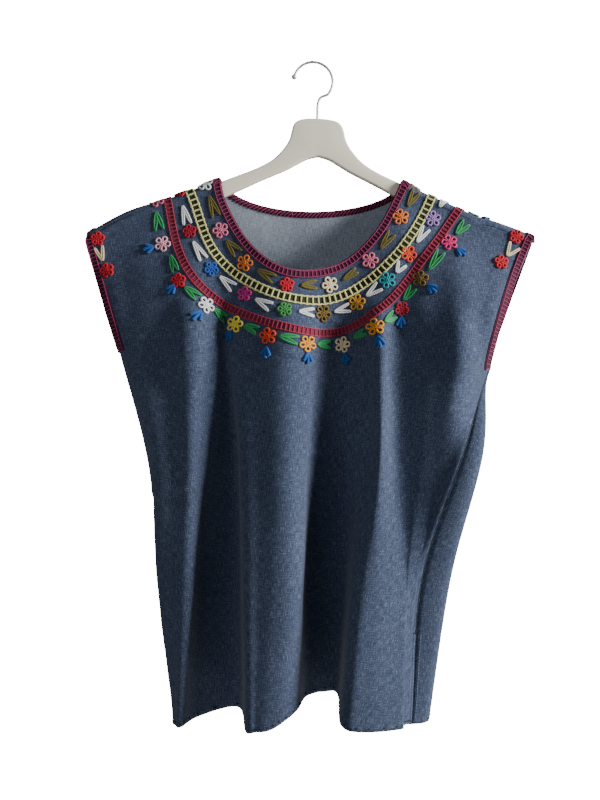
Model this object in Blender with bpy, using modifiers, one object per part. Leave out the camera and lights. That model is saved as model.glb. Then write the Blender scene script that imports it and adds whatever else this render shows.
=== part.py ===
"""Huipil blouse hanging on a plain wooden hanger: the pieces a maker cuts and sews, at their real size.

Metres, +X to the right as seen from the front, +Y to the back, +Z up.
The origin is the underside of the hook's top, where the hook bears on whatever it hangs from.
"""
import math
from collections import namedtuple

import bmesh
import bpy
import numpy as np
from mathutils import Vector
from mathutils.bvhtree import BVHTree

MM = 0.001

# --- hanger and hook -------------------------------------------------------------------------------
WIRE = 3.5 * MM
HOOK_RADIUS = 24.4 * MM           # centre line of the hook's round part
HOOK_TIP_ANGLE = 166
HOOK_FOOT_ANGLE = -42
HOOK_BALL = 3.4 * MM
STEM_X = 5.8 * MM
STEM_TOP = -52 * MM
STEM_DEPTH = 12 * MM              # of the stem inside the wooden head
HEAD_X = 6.2 * MM
HEAD_TOP = -69.5 * MM
HANGER_TILT = math.tan(math.radians(2.6))   # the right arm hangs lower
BOARD = 10 * MM
BOARD_ROUNDING = 2.6 * MM

ArmRow = namedtuple("ArmRow", "out top bottom")
ARM = [ArmRow(0, 0, -47.5), ArmRow(13, -0.6, -51), ArmRow(24, -3, -57), ArmRow(31, -10, -61),
       ArmRow(36, -28, -64), ArmRow(46, -43, -69), ArmRow(58, -54.5, -74.5), ArmRow(76, -65, -83),
       ArmRow(104, -77, -97), ArmRow(140, -92, -114), ArmRow(180, -108, -131), ArmRow(206, -118, -140)]
ARM_TIP = [(213, -121.5), (218, -128), (218.5, -135), (214, -140)]

# --- cloth -----------------------------------------------------------------------------------------
CLOTH = 1.2 * MM
GAP = 0.3 * MM
ARCH = 8.6 * MM                   # cloth's middle layer bends over the arm at this radius
ARCH_LIFT = 2.3 * MM              # of the ridge over the arm's top edge
NECK_LIFT = 5.2 * MM              # the same where the folded neck binding crosses the arm
NECK_LIFT_REACH = 30 * MM
SEAM_FORWARD = 14 * MM            # shoulder seam lies this far in front of the ridge
YOKE_DROP = 115 * MM              # over which the yoke opens out to the depth of the chest
FOLD_START = 82 * MM              # above the chest line, where the folds begin
FOLD_FULL = 32 * MM               # above it, where they are at their full depth
FOLD_CALM = 42 * MM               # reach of the smoothing that gives the yoke's depth without them

NECK_X = -3.5 * MM
NECK_POINT = 116 * MM             # half of the raised ridge between the neck points
NECK_ENDS = {-1: 112.4 * MM, 1: 116 * MM}       # from NECK_X to the neck edge on the ridge, left and right
NECK_SEAMS = {-1: 110.8 * MM, 1: 110.4 * MM}    # the same where the edge crosses the shoulder seams
BACK_NECK_DEPTH = 43 * MM         # below the ridge, along the cloth
# The front's neck edge in the flat, in mm, from the left shoulder round to the right one.
NECK_LINE = [(-115.6, -151), (-114.2, -161), (-111, -174), (-104.6, -189.5), (-97.2, -204), (-89.2, -217.8),
             (-80.2, -230.6), (-70, -242), (-58.2, -252.4), (-45.2, -260.6), (-30.8, -266), (-15.5, -267.8),
             (0, -266.8), (14.6, -264), (28.8, -259.2), (42, -252), (54, -242.8), (65, -232), (75, -220.2),
             (83.6, -208), (91, -194.8), (98, -180.6), (104.8, -166.6), (109.4, -156), (112.6, -149)]

Side = namedtuple("Side", "tip_x tip_z droop droop_curve under_x under_z edge_front edge_back bulge")
LEFT = Side(-285, -216, 0.30, 2.6, -243, -361, 12, 13, 0)
RIGHT = Side(273, -222, 0.30, 1.6, 220, -380, 9, 6, 7)
ARM_END = 212 * MM                # from the hanger's middle to where the ridge leaves the arm

# One row for each fold of the body's cloth, round the tube from the left side seam across the front
# (0 to 1) and back across the back (1 to 2). Sizes in mm: x and y at four heights, and the hem's height.
Fold = namedtuple("Fold", "name at chest_x chest_y waist_x waist_y hip_x hip_y hem_x hem_y hem_z")
FOLDS = [
    Fold("left seam", 0.000, -243, 4, -206, 9, -182, 24, -152, 38, -820),
    Fold("left turn", 0.065, -222, -17, -192, -22, -190, -14, -174, 4, -824),
    Fold("left front", 0.120, -185, -25, -170, -28, -172, -25, -170, -13, -823),
    Fold("left ridge", 0.180, -147, -37, -146, -36, -150, -28, -162, -22, -822),
    Fold("left ridge foot", 0.225, -124, -22, -126, -14, -137, 2, -146, 10, -820),
    Fold("left valley", 0.285, -107, -10, -97, 5, -95, 15, -95, 22, -811),
    Fold("middle edge", 0.345, -94, -28, -86, -38, -83, -48, -80, -56, -818),
    Fold("middle lap", 0.385, -72, -38, -66, -46, -65, -55, -69, -61, -816),
    Fold("middle crest", 0.425, -44, -47, -43, -54, -45, -60, -55, -63, -814),
    Fold("middle lit side", 0.520, -3, -31, -10, -37, -14, -43, -20, -43, -795),
    Fold("right valley foot", 0.580, 12, -14, 5, -7, -5, 1, -6, 8, -792),
    Fold("right valley", 0.635, 40, -8, 40, 3, 36, 10, 29, 16, -790),
    Fold("right edge", 0.700, 62, -22, 67, -20, 49, -50, 33, -66, -806),
    Fold("right crest", 0.770, 83, -42, 81, -46, 72, -60, 62, -73, -812),
    Fold("right lit side", 0.830, 107, -20, 104, -23, 106, -44, 102, -60, -813),
    Fold("right tuck", 0.900, 150, -36, 136, -34, 124, -37, 109, -51, -811),
    Fold("right turn", 0.965, 190, -37, 166, -42, 138, -35, 114, -43, -812),
    Fold("right seam", 1.000, 222, 4, 183, -42, 150, -35, 119, -37, -814),
    Fold("seam roll", 1.030, 221, 11, 197, -34, 161, -29, 130, -26, -814),
    Fold("back wrap", 1.065, 214, 19, 206, 8, 170, 0, 145, -5, -813),
    Fold("back turn", 1.130, 196, 27, 192, 30, 161, 30, 137, 27, -808),
    Fold("back fold 1", 1.220, 158, 33, 151, 44, 128, 54, 109, 63, -806),
    Fold("back dip 1", 1.320, 108, 27, 106, 28, 92, 28, 79, 31, -797),
    Fold("back fold 2", 1.420, 55, 36, 60, 48, 55, 60, 45, 70, -803),
    Fold("back dip 2", 1.520, 0, 29, 12, 28, 14, 29, 9, 35, -796),
    Fold("back fold 3", 1.620, -60, 36, -38, 46, -31, 59, -32, 71, -804),
    Fold("back dip 3", 1.720, -120, 29, -92, 28, -79, 30, -75, 36, -802),
    Fold("back fold 4", 1.830, -185, 30, -151, 42, -132, 54, -117, 64, -811),
    Fold("back left turn", 1.930, -226, 18, -194, 24, -174, 38, -146, 52, -818),
]
WAIST_Z = -487
HIP_Z = -640

# --- what is worked on the cloth -------------------------------------------------------------------
BINDING = 11 * MM
BINDING_CLOTH = 1.0 * MM
LADDER = 11 * MM
PALE_LADDER_AT = 31 * MM          # from the neck edge to the ladder's near side
WINE_LADDER_AT = 70 * MM
# Rows of motifs: mm from the neck edge, sizes in mm, and where along the row the end flowers stand.
Band = namedtuple("Band", "away flowers flower_radius leaf_length leaf_spread first last")
INNER_BAND = Band(21, 6, 8.8, 19, 4.5, 0.114, 0.873)
MIDDLE_BAND = Band(56, 9, 9.6, 20.5, 6.5, 0.066, 0.928)
OUTER_BAND = Band(93, 11, 9.4, 19.5, 6.5, 0.062, 0.910)
SLEEVE_FLOWERS = [(-260, -228), (-246, -258), (239, -230), (221, -257)]
SLEEVE_FLOWER_RADIUS = 8.0
FLOWER_LIFT = 2.0 * MM
LEAF_LIFT = 1.7 * MM
SPRIG_LIFT = 1.2 * MM
FLOWER_CROWN = 0.6 * MM
FOOT_DEPTH = 0.35 * MM            # of a motif's foot below the cloth's middle
TOP_INSET = 0.1
SPRIG_LENGTH = 14.0

# --- how finely the cloth is divided ---------------------------------------------------------------
Mesh = namedtuple("Mesh", "ridge_columns arm_columns body_columns body_rows neck_share")
FRONT_MESH = Mesh(0, 8, 40, 14, 0.20)
BACK_MESH = Mesh(6, 12, 26, 10, 0.26)      # neck_share: of the neck edge, for the columns of one armhole
SHOULDER_EASE_COLUMNS = 6
STEP = 0.5 * MM                   # for slopes

COLOURS = {
    "cloth": (0.045, 0.062, 0.115, 1),
    "plum": (0.24, 0.025, 0.10, 1),
    "pale": (0.75, 0.75, 0.30, 1),
    "wine": (0.22, 0.015, 0.045, 1),
    "wood": (0.68, 0.63, 0.54, 1),
    "steel": (0.60, 0.60, 0.58, 1),
}


# --- small helpers ---------------------------------------------------------------------------------
def material(name, colour, roughness, metallic=0.0):
    """A plain Principled finish."""
    finish = bpy.data.materials.new(name)
    finish.use_nodes = True
    shader = finish.node_tree.nodes["Principled BSDF"]
    shader.inputs["Base Color"].default_value = COLOURS[colour]
    shader.inputs["Roughness"].default_value = roughness
    shader.inputs["Metallic"].default_value = metallic
    return finish


def collection(name):
    """A new collection in the scene."""
    made = bpy.data.collections.new(name)
    bpy.context.scene.collection.children.link(made)
    return made


def add_mesh(name, bm, finish, group):
    """Turn a bmesh into a named object."""
    mesh = bpy.data.meshes.new(name)
    bm.to_mesh(mesh)
    bm.free()
    piece = bpy.data.objects.new(name, mesh)
    if finish:
        mesh.materials.append(finish)
    group.objects.link(piece)
    return piece


def smooth_step(value):
    """Ease from 0 to 1."""
    value = min(1.0, max(0.0, value))
    return value * value * (3 - 2 * value)


def smooth_line(points, steps):
    """A curve through the points, as a list with the given steps between them."""
    points = [np.array(point, float) for point in points]
    line = []
    for k in range(len(points) - 1):
        here, there = points[k], points[k + 1]
        before = points[k - 1] if k else 2 * here - there
        after = points[k + 2] if k + 2 < len(points) else 2 * there - here
        for step in range(steps):
            f = step / steps
            line.append(0.5 * (2 * here + (there - before) * f
                               + (2 * before - 5 * here + 4 * there - after) * f ** 2
                               + (3 * here - before - 3 * there + after) * f ** 3))
    return line + [points[-1]]


def spaced(points, parts):
    """Points along a line, evenly spaced, as parts plus one of them."""
    points = np.array(points)
    along = np.concatenate([[0], np.cumsum(np.linalg.norm(np.diff(points, axis=0), axis=1))])
    places = np.linspace(0, along[-1], parts + 1)
    return np.stack([np.interp(places, along, points[:, k]) for k in range(points.shape[1])], axis=1)


# --- hanger ----------------------------------------------------------------------------------------
ARM_OUT = [row.out * MM for row in ARM]
ARM_TOP = [row.top * MM for row in ARM]
ARM_BOTTOM = [row.bottom * MM for row in ARM]


def hanger_outline():
    """The board's outline: the top edge, the tip and the bottom edge, for both arms."""
    top = smooth_line(list(zip(ARM_OUT, ARM_TOP)), 3)
    tip = [np.array(point) * MM for point in ARM_TIP]
    bottom = list(zip(ARM_OUT, ARM_BOTTOM))[::-1]
    right = top + tip + [np.array(point) for point in bottom]
    left = [np.array((-x, z)) for x, z in right[::-1]]
    return [(HEAD_X + x, HEAD_TOP + z - HANGER_TILT * x) for x, z in left[:-1] + right[:-1]]


def build_hanger(group):
    """The wooden board with rounded edges."""
    curve = bpy.data.curves.new("hanger_outline", "CURVE")
    curve.dimensions = "2D"
    curve.fill_mode = "BOTH"
    curve.extrude = BOARD / 2
    outline = hanger_outline()
    spline = curve.splines.new("POLY")
    spline.points.add(len(outline) - 1)
    for point, (x, z) in zip(spline.points, outline):
        point.co = (x, z, 0, 1)
    spline.use_cyclic_u = True
    flat = bpy.data.objects.new("hanger_outline", curve)
    flat.rotation_euler = (math.radians(90), 0, 0)
    group.objects.link(flat)
    board = curve_to_mesh("hanger", flat, material("wood", "wood", 0.45), group)
    rounding = board.modifiers.new("rounded edges", "BEVEL")
    rounding.width = BOARD_ROUNDING
    rounding.segments = 2
    rounding.angle_limit = math.radians(60)
    board.data.shade_smooth()
    board.data.set_sharp_from_angle(angle=math.radians(50))


def curve_to_mesh(name, source, finish, group):
    """A curve object as a welded mesh in its place, and the curve removed."""
    evaluated = source.evaluated_get(bpy.context.evaluated_depsgraph_get())
    mesh = bpy.data.meshes.new_from_object(evaluated)
    mesh.transform(source.matrix_world if source.matrix_world != evaluated.matrix_world
                   else evaluated.matrix_world)
    bm = bmesh.new()
    bm.from_mesh(mesh)
    bmesh.ops.remove_doubles(bm, verts=bm.verts, dist=0.00001)
    bmesh.ops.dissolve_limit(bm, angle_limit=math.radians(0.5), verts=bm.verts, edges=bm.edges)
    bmesh.ops.recalc_face_normals(bm, faces=bm.faces)
    bpy.data.meshes.remove(mesh)
    bpy.data.objects.remove(source)
    return add_mesh(name, bm, finish, group)


def hook_path():
    """The wire's middle line from the ball end over the top and down into the head."""
    centre = -(HOOK_RADIUS - WIRE / 2)
    angles = np.radians(np.linspace(HOOK_TIP_ANGLE, HOOK_FOOT_ANGLE, 27))
    arc = [(HOOK_RADIUS * math.cos(a), centre + HOOK_RADIUS * math.sin(a)) for a in angles]
    neck = smooth_line([arc[-2], arc[-1], (9.2 * MM, STEM_TOP + 9 * MM), (STEM_X, STEM_TOP),
                        (STEM_X - 0.3 * MM, STEM_TOP - 10 * MM)], 4)[5:]
    return arc + neck + [(STEM_X - 0.8 * MM, HEAD_TOP - STEM_DEPTH)]


def build_hook(group, cutters, board):
    """The bent wire with its ball end, and its hole in the wooden head."""
    steel = material("steel", "steel", 0.3, 1.0)
    curve = bpy.data.curves.new("hook_wire", "CURVE")
    curve.dimensions = "3D"
    curve.bevel_depth = WIRE / 2
    curve.bevel_resolution = 2
    curve.use_fill_caps = True
    path = hook_path()
    spline = curve.splines.new("POLY")
    spline.points.add(len(path) - 1)
    for point, (x, z) in zip(spline.points, path):
        point.co = (x, 0, z, 1)
    wire = bpy.data.objects.new("hook_wire", curve)
    group.objects.link(wire)
    hook = curve_to_mesh("hook", wire, steel, group)
    hook.data.shade_smooth()
    hook.data.set_sharp_from_angle(angle=math.radians(50))

    ball_bm = bmesh.new()
    bmesh.ops.create_uvsphere(ball_bm, u_segments=12, v_segments=8, radius=HOOK_BALL)
    bmesh.ops.translate(ball_bm, verts=ball_bm.verts, vec=(path[0][0], 0, path[0][1]))
    ball = add_mesh("hook_ball", ball_bm, None, cutters)
    joined = hook.modifiers.new("ball end", "BOOLEAN")
    joined.operation = "UNION"
    joined.object = ball

    hole_bm = bmesh.new()
    bmesh.ops.create_cone(hole_bm, cap_ends=True, segments=16, radius1=WIRE / 2 + 2 * GAP,
                          radius2=WIRE / 2 + 2 * GAP, depth=2 * (STEM_DEPTH + GAP))
    bmesh.ops.translate(hole_bm, verts=hole_bm.verts, vec=(STEM_X - 0.6 * MM, 0, HEAD_TOP))
    hole = add_mesh("hook_hole", hole_bm, None, cutters)
    bored = board.modifiers.new("hook hole", "BOOLEAN")
    bored.operation = "DIFFERENCE"
    bored.object = hole


# --- shape of the hung cloth -----------------------------------------------------------------------
FRONT = -1
BACK = 1
QUARTER = math.pi * ARCH / 2


def arm_height(x):
    """Height of the hanger's top edge at x."""
    out = x - HEAD_X
    return HEAD_TOP + np.interp(abs(out), ARM_OUT, ARM_TOP) - HANGER_TILT * out


def ridge(x):
    """Height of the cloth's shoulder ridge at x, over the arms, the neck gap and the sleeves."""
    left, right = NECK_X - NECK_POINT, NECK_X + NECK_POINT
    if left < x < right:
        share = (x - left) / (right - left)
        return (1 - share) * arm_height(left) + share * arm_height(right) + NECK_LIFT
    side = RIGHT if x > 0 else LEFT
    end = HEAD_X + math.copysign(ARM_END, x)
    past = max(0.0, abs(x) - abs(end))
    from_neck = abs(x - NECK_X) - NECK_POINT
    lift = NECK_LIFT + (ARCH_LIFT - NECK_LIFT) * smooth_step(from_neck / NECK_LIFT_REACH)
    return (arm_height(end if past else x) + lift
            - side.droop * past - side.droop_curve * past ** 2)


def body_edge(side, z):
    """X of the cloth tube's outermost line at height z in the yoke."""
    share = (z - side.under_z * MM) / ((side.tip_z - side.under_z) * MM)
    tip = side.tip_x * MM + math.copysign(side.edge_front * MM, side.tip_x)
    return (1 - share) * side.under_x * MM + share * tip


def fold_curve(xs, ys, zs):
    """A closed smooth curve through one height of every fold, as a function of the place round it."""
    at = np.array([fold.at for fold in FOLDS])
    values = np.stack([xs, ys, zs], axis=1) * MM
    at = np.concatenate([at[-2:] - 2, at, at[:3] + 2])
    values = np.concatenate([values[-2:], values, values[:3]])
    slopes = np.zeros_like(values)
    for k in range(1, len(at) - 1):
        near, far = at[k] - at[k - 1], at[k + 1] - at[k]
        slopes[k] = ((values[k] - values[k - 1]) / near * far + (values[k + 1] - values[k]) / far * near)
        slopes[k] /= near + far

    def curve(place):
        k = min(len(at) - 3, max(1, int(np.searchsorted(at, place)) - 1))
        width = at[k + 1] - at[k]
        f = (place - at[k]) / width
        return ((2 * f ** 3 - 3 * f ** 2 + 1) * values[k] + (f ** 3 - 2 * f ** 2 + f) * width * slopes[k]
                + (3 * f ** 2 - 2 * f ** 3) * values[k + 1] + (f ** 3 - f ** 2) * width * slopes[k + 1])

    return curve


def chest_height(x):
    """Height, in mm, of the line from underarm to underarm."""
    share = (x - LEFT.under_x) / (RIGHT.under_x - LEFT.under_x)
    return (1 - share) * LEFT.under_z + share * RIGHT.under_z


def column(field):
    """One column of the fold table."""
    return np.array([getattr(fold, field) for fold in FOLDS], float)


CHEST = fold_curve(column("chest_x"), column("chest_y"), chest_height(column("chest_x")))
WAIST = fold_curve(column("waist_x"), column("waist_y"), np.full(len(FOLDS), WAIST_Z))
HIP = fold_curve(column("hip_x"), column("hip_y"), np.full(len(FOLDS), HIP_Z))
HEM = fold_curve(column("hem_x"), column("hem_y"), column("hem_z"))
FRONT_PLACES = np.linspace(0, 1, 201)
BACK_PLACES = np.linspace(2, 1, 201)
CHEST_FRONT = np.array([CHEST(place) for place in FRONT_PLACES])
CHEST_BACK = np.array([CHEST(place) for place in BACK_PLACES])


def calmed(chest):
    """The depth along a chest line with its folds smoothed away, except close to its ends."""
    xs, depths = chest[:, 0], chest[:, 1]
    weights = np.exp(-((xs[:, None] - xs[None, :]) / FOLD_CALM) ** 2)
    smooth = weights @ depths / weights.sum(axis=1)
    inside = np.clip(np.minimum(xs - xs[0], xs[-1] - xs) / FOLD_CALM, 0, 1)
    return depths + (smooth - depths) * inside * inside * (3 - 2 * inside)


CALM_FRONT = calmed(CHEST_FRONT)
CALM_BACK = calmed(CHEST_BACK)


def drape_yoke(side, x, down):
    """A point of the yoke's middle layer: down is the cloth's length from the ridge to its own side."""
    top = ridge(x)
    if abs(down) <= QUARTER:
        bend = down / ARCH
        return np.array([x, side * ARCH * math.sin(bend), top - ARCH * (1 - math.cos(bend))])
    if down < 0:
        return np.array([x, -side * ARCH, top - ARCH - (-down - QUARTER)])
    z = top - ARCH - (down - QUARTER)
    left, right = body_edge(LEFT, z), body_edge(RIGHT, z)
    chest_x = LEFT.under_x * MM + (x - left) / (right - left) * (RIGHT.under_x - LEFT.under_x) * MM
    chest, calm = (CHEST_FRONT, CALM_FRONT) if side == FRONT else (CHEST_BACK, CALM_BACK)
    above = z - np.interp(chest_x, chest[:, 0], chest[:, 2])
    near = smooth_step((FOLD_START - above) / (FOLD_START - FOLD_FULL))
    relief = np.interp(x, chest[:, 0], chest[:, 1] - calm)
    depth = np.interp(chest_x, chest[:, 0], calm) + relief * near
    opened = smooth_step((down - QUARTER) / YOKE_DROP)
    return np.array([x, side * ARCH + (depth - side * ARCH) * opened, z])


def drape_body(place, level):
    """A point of the body's middle layer: level is 0 at the chest, 1 waist, 2 hip and 3 hem."""
    rows = [CHEST(place), WAIST(place), HIP(place), HEM(place)]
    slopes = [(rows[1] - rows[0]) * (1.0, 0.15, 1.0), (rows[2] - rows[0]) / 2,
              (rows[3] - rows[1]) / 2, rows[3] - rows[2]]
    k = min(2, int(level))
    f = level - k
    return ((2 * f ** 3 - 3 * f ** 2 + 1) * rows[k] + (f ** 3 - 2 * f ** 2 + f) * slopes[k]
            + (3 * f ** 2 - 2 * f ** 3) * rows[k + 1] + (f ** 3 - f ** 2) * slopes[k + 1])


def unit(vector):
    """The vector at length 1."""
    return vector / np.linalg.norm(vector)


def yoke_normal(side, x, down):
    """The outward direction of the yoke's cloth."""
    across = drape_yoke(side, x + STEP, down) - drape_yoke(side, x - STEP, down)
    along = drape_yoke(side, x, down + STEP) - drape_yoke(side, x, down - STEP)
    return unit(np.cross(across, along)) * -side * -1


def body_normal(place, level):
    """The outward direction of the body's cloth."""
    across = drape_body(place + 0.002, level) - drape_body(place - 0.002, level)
    near, far = max(0.0, level - 0.01), min(3.0, level + 0.01)
    along = drape_body(place, far) - drape_body(place, near)
    return -unit(np.cross(across, along))


# --- cloth panels ----------------------------------------------------------------------------------
def neck_width(down, sign):
    """Half the neck's width at a length down the back; below 0, forward to the shoulder seam."""
    if down > 0:
        return NECK_ENDS[sign] * math.sqrt(max(0.0, 1 - (down / BACK_NECK_DEPTH) ** 2))
    return NECK_ENDS[sign] + (NECK_SEAMS[sign] - NECK_ENDS[sign]) * -down / SEAM_FORWARD


def first_downs(side):
    """Lengths down from the ridge of the columns that follow the shoulder."""
    if side == FRONT:
        return [SEAM_FORWARD]
    return list(np.linspace(-SEAM_FORWARD, SEAM_FORWARD, BACK_MESH.ridge_columns + 1))


def edge_points(line, downs, side, arm_columns, arm_length):
    """Points along an edge that starts at a shoulder: by length down from the ridge, then evenly."""
    line = np.array(line)
    along = np.concatenate([[0], np.cumsum(np.linalg.norm(np.diff(line, axis=0), axis=1))])
    firsts = [np.interp(down, downs, along) for down in first_downs(side)]
    rest = np.linspace(firsts[-1], arm_length, arm_columns + 2 - len(firsts))[1:]
    places = np.array(firsts + list(rest))
    return np.stack([np.interp(places, along, line[:, 0]), np.interp(places, along, line[:, 1])], axis=1)


def front_neck_half(sign):
    """Half of the front's neck edge in the flat, from the seam to the lowest point, and its lengths down."""
    whole = np.array(smooth_line(NECK_LINE, 12)) * MM
    low = int(np.argmin(whole[:, 1]))
    line = whole[:low + 1] if sign < 0 else whole[:low - 1:-1]
    downs = np.array([ridge(x) - height for x, height in line])
    k = int(np.argmax(downs > SEAM_FORWARD))
    share = (SEAM_FORWARD - downs[k - 1]) / (downs[k] - downs[k - 1])
    start = line[k - 1] + (line[k] - line[k - 1]) * share
    return np.concatenate([[start], line[k:]]), np.concatenate([[SEAM_FORWARD], downs[k:]])


def neck_half(side, sign):
    """Half of the neck edge in the flat, from the shoulder to the middle, and its lengths down."""
    if side == FRONT:
        return front_neck_half(sign)
    turns = np.linspace(math.asin(-SEAM_FORWARD / BACK_NECK_DEPTH), math.pi / 2, 200)
    downs = BACK_NECK_DEPTH * np.sin(turns)
    line = []
    for down in downs:
        width = neck_width(down, sign)
        share = width / NECK_POINT
        top = ridge(NECK_X + sign * NECK_POINT) * share + ridge(NECK_X) * (1 - share)
        line.append((NECK_X + sign * width, top - down))
    return np.array(line), downs


def neck_edge(side, mesh):
    """The neck edge in the flat, as (x, height), from left to right."""
    halves = [neck_half(side, sign) for sign in (-1, 1)]
    whole = np.concatenate([halves[0][0], halves[1][0][-2::-1]])
    length = np.linalg.norm(np.diff(whole, axis=0), axis=1).sum()
    reach = length * mesh.neck_share
    ends = [edge_points(half, downs, side, mesh.arm_columns, reach) for half, downs in halves]
    fine = spaced(whole, 2000)
    places = np.linspace(2000 * mesh.neck_share, 2000 * (1 - mesh.neck_share), mesh.body_columns + 1)
    middle = fine[np.round(places).astype(int)]
    return np.concatenate([ends[0][:-1], middle, ends[1][-2::-1]])


def armhole_edge(side, arm, mesh):
    """The armhole's edge in the flat, from the sleeve's tip down to the underarm."""
    tip_x = arm.tip_x * MM
    top = ridge(tip_x)
    foot = arm.under_z * MM + ARCH - QUARTER
    inset = (arm.edge_front if side == FRONT else arm.edge_back) * MM
    bulge = arm.bulge * MM if side == FRONT else 0
    sign = math.copysign(1, tip_x)
    line = []
    downs = np.linspace(first_downs(side)[0], top - foot, 80)
    for down in downs:
        height = top - down
        edge = body_edge(arm, min(height + QUARTER - ARCH, top - ARCH))
        share = max(0.0, down) / (top - foot)
        inward = inset * (1 - share) + bulge * math.sin(math.pi * share)
        line.append((edge - sign * inward, height))
    length = np.linalg.norm(np.diff(np.array(line), axis=0), axis=1).sum()
    return edge_points(line, downs, side, mesh.arm_columns, length)


def chest_line(side, columns):
    """Places round the tube, and points in the flat, of the columns that run down the body."""
    places = np.linspace(0, 1, columns + 1) if side == FRONT else np.linspace(2, 1, columns + 1)
    points = np.array([CHEST(place) for place in places])
    flat = np.stack([points[:, 0], points[:, 2] + ARCH - QUARTER], axis=1)
    return places, flat


class Panel:
    """The middle layer of the front or the back, as columns from the neck edge outwards."""

    def __init__(self, side, mesh, offsets):
        self.side = side
        self.mesh = mesh
        self.columns = mesh.body_columns + 2 * mesh.arm_columns
        self.corners = (mesh.arm_columns, self.columns - mesh.arm_columns)
        self.points = []
        self.normals = []
        self.yoke_rows = len(offsets) + 3
        self.lay_out(offsets)

    def lay_out(self, offsets):
        """Work out every point and its outward direction."""
        neck = neck_edge(self.side, self.mesh)
        places, chest = chest_line(self.side, self.mesh.body_columns)
        left = armhole_edge(self.side, LEFT, self.mesh)
        right = armhole_edge(self.side, RIGHT, self.mesh)[::-1]
        outer = np.concatenate([left[:-1], chest, right[1:]])
        lines = [self.column_line(neck, outer, k) for k in range(self.columns + 1)]
        self.ease_to_shoulders(lines, neck, outer)
        levels = np.linspace(0.11, 3, self.mesh.body_rows)
        for k, line in enumerate(lines):
            points, normals = [], []
            on_body = self.corners[0] <= k <= self.corners[1]
            rows = self.row_points(line, offsets)
            for x, height in rows[:-1] if on_body else rows:
                points.append(drape_yoke(self.side, x, ridge(x) - height))
                normals.append(yoke_normal(self.side, x, ridge(x) - height))
            if on_body:
                place = places[k - self.corners[0]]
                for level in [0.0, *levels]:
                    points.append(drape_body(place, level))
                    normals.append(body_normal(place, level))
            self.points.append(points)
            self.normals.append(normals)
        self.open_seams()

    def column_line(self, neck, outer, k):
        """A smooth line in the flat that leaves the neck edge square and meets the outer edge square."""
        last = self.columns
        along = neck[min(k + 1, last)] - neck[max(k - 1, 0)]
        leaving = unit(np.array([along[1], -along[0]]))
        near_left = k < last / 2
        outward = -1 if near_left else 1
        corner = abs(k - self.corners[0]) if near_left else abs(k - self.corners[1])
        if k < self.corners[0] or k > self.corners[1]:
            arriving = np.array([outward, -0.25 - 0.75 * max(0, 1 - corner / 4)])
        else:
            arriving = np.array([0.8 * outward * max(0, 1 - corner / 5), -1.0])
        reach = np.linalg.norm(outer[k] - neck[k])
        start, end = leaving * reach, unit(arriving) * reach * 0.8
        line = []
        for f in np.linspace(0, 1, 41):
            line.append((2 * f ** 3 - 3 * f ** 2 + 1) * neck[k] + (f ** 3 - 2 * f ** 2 + f) * start
                        + (3 * f ** 2 - 2 * f ** 3) * outer[k] + (f ** 3 - f ** 2) * end)
        return np.array(line)

    def ease_to_shoulders(self, lines, neck, outer):
        """Make the end columns follow the shoulder ridge, and ease their neighbours to it."""
        downs = first_downs(self.side)
        for first, step in ((0, 1), (self.columns, -1)):
            for number, down in enumerate(downs):
                k = first + step * number
                xs = np.linspace(neck[k][0], outer[k][0], 41)
                along = np.array([(x, ridge(x) - down) for x in xs])
                ends = np.linspace(neck[k] - along[0], outer[k] - along[-1], 41)
                change = along + ends - lines[k]
                lines[k] += change
            for number in range(1, SHOULDER_EASE_COLUMNS):
                lines[k + step * number] += change * (1 - number / SHOULDER_EASE_COLUMNS) ** 2

    def row_points(self, line, offsets):
        """Points along one column: at the offsets from the neck edge, then shared out to the end."""
        along = np.concatenate([[0], np.cumsum(np.linalg.norm(np.diff(line, axis=0), axis=1))])
        rest = along[-1] - offsets[-1] - BINDING
        places = list(offsets) + [offsets[-1] + rest / 2, offsets[-1] + rest, along[-1]]
        return np.stack([np.interp(places, along, line[:, 0]), np.interp(places, along, line[:, 1])], axis=1)

    def open_seams(self):
        """Draw the seam edges back by half the gap that is left between pieces."""
        for first, step in ((0, 1), (self.columns, -1)):
            self.draw_back(self.points[first], self.points[first + step], 0.6)
        for first, step in ((self.corners[0], 1), (self.corners[1], -1)):
            start = self.yoke_rows - 1
            side_seam = self.points[first][start:]
            self.draw_back(side_seam, self.points[first + step][start:], 1.4)
            self.points[first][start:] = side_seam

    @staticmethod
    def draw_back(edge, inner, share):
        """Move each edge point towards its neighbour by a share of the gap."""
        for k, point in enumerate(edge):
            edge[k] = point + unit(inner[k] - point) * GAP * share

    def faces(self):
        """Quads of the middle layer, as (column, row) corners."""
        quads = []
        for k in range(self.columns):
            rows = min(len(self.points[k]), len(self.points[k + 1])) - 1
            for row in range(rows):
                quads.append(((k, row), (k, row + 1), (k + 1, row + 1), (k + 1, row)))
        return quads

    def offset(self, k, row, lift):
        """The point at a column and row, moved out from the middle layer."""
        return self.points[k][row] + self.normals[k][row] * lift

    def wall(self):
        """The panel as a closed wall of cloth."""
        bm = bmesh.new()
        outer, inner = {}, {}
        for k in range(self.columns + 1):
            for row in range(len(self.points[k])):
                outer[k, row] = bm.verts.new(self.offset(k, row, CLOTH / 2))
                inner[k, row] = bm.verts.new(self.offset(k, row, -CLOTH / 2))
        skin = [bm.faces.new([outer[key] for key in quad]) for quad in self.faces()]
        for quad in self.faces():
            bm.faces.new([inner[key] for key in quad[::-1]])
        back = {vert: inner[key] for key, vert in outer.items()}
        rims = [edge for face in skin for edge in face.edges if len(edge.link_faces) == 1]
        for edge in rims:
            loop = edge.link_loops[0]
            start, end = loop.vert, loop.link_loop_next.vert
            bm.faces.new((end, start, back[start], back[end]))
        return finish_wall(bm)

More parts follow.
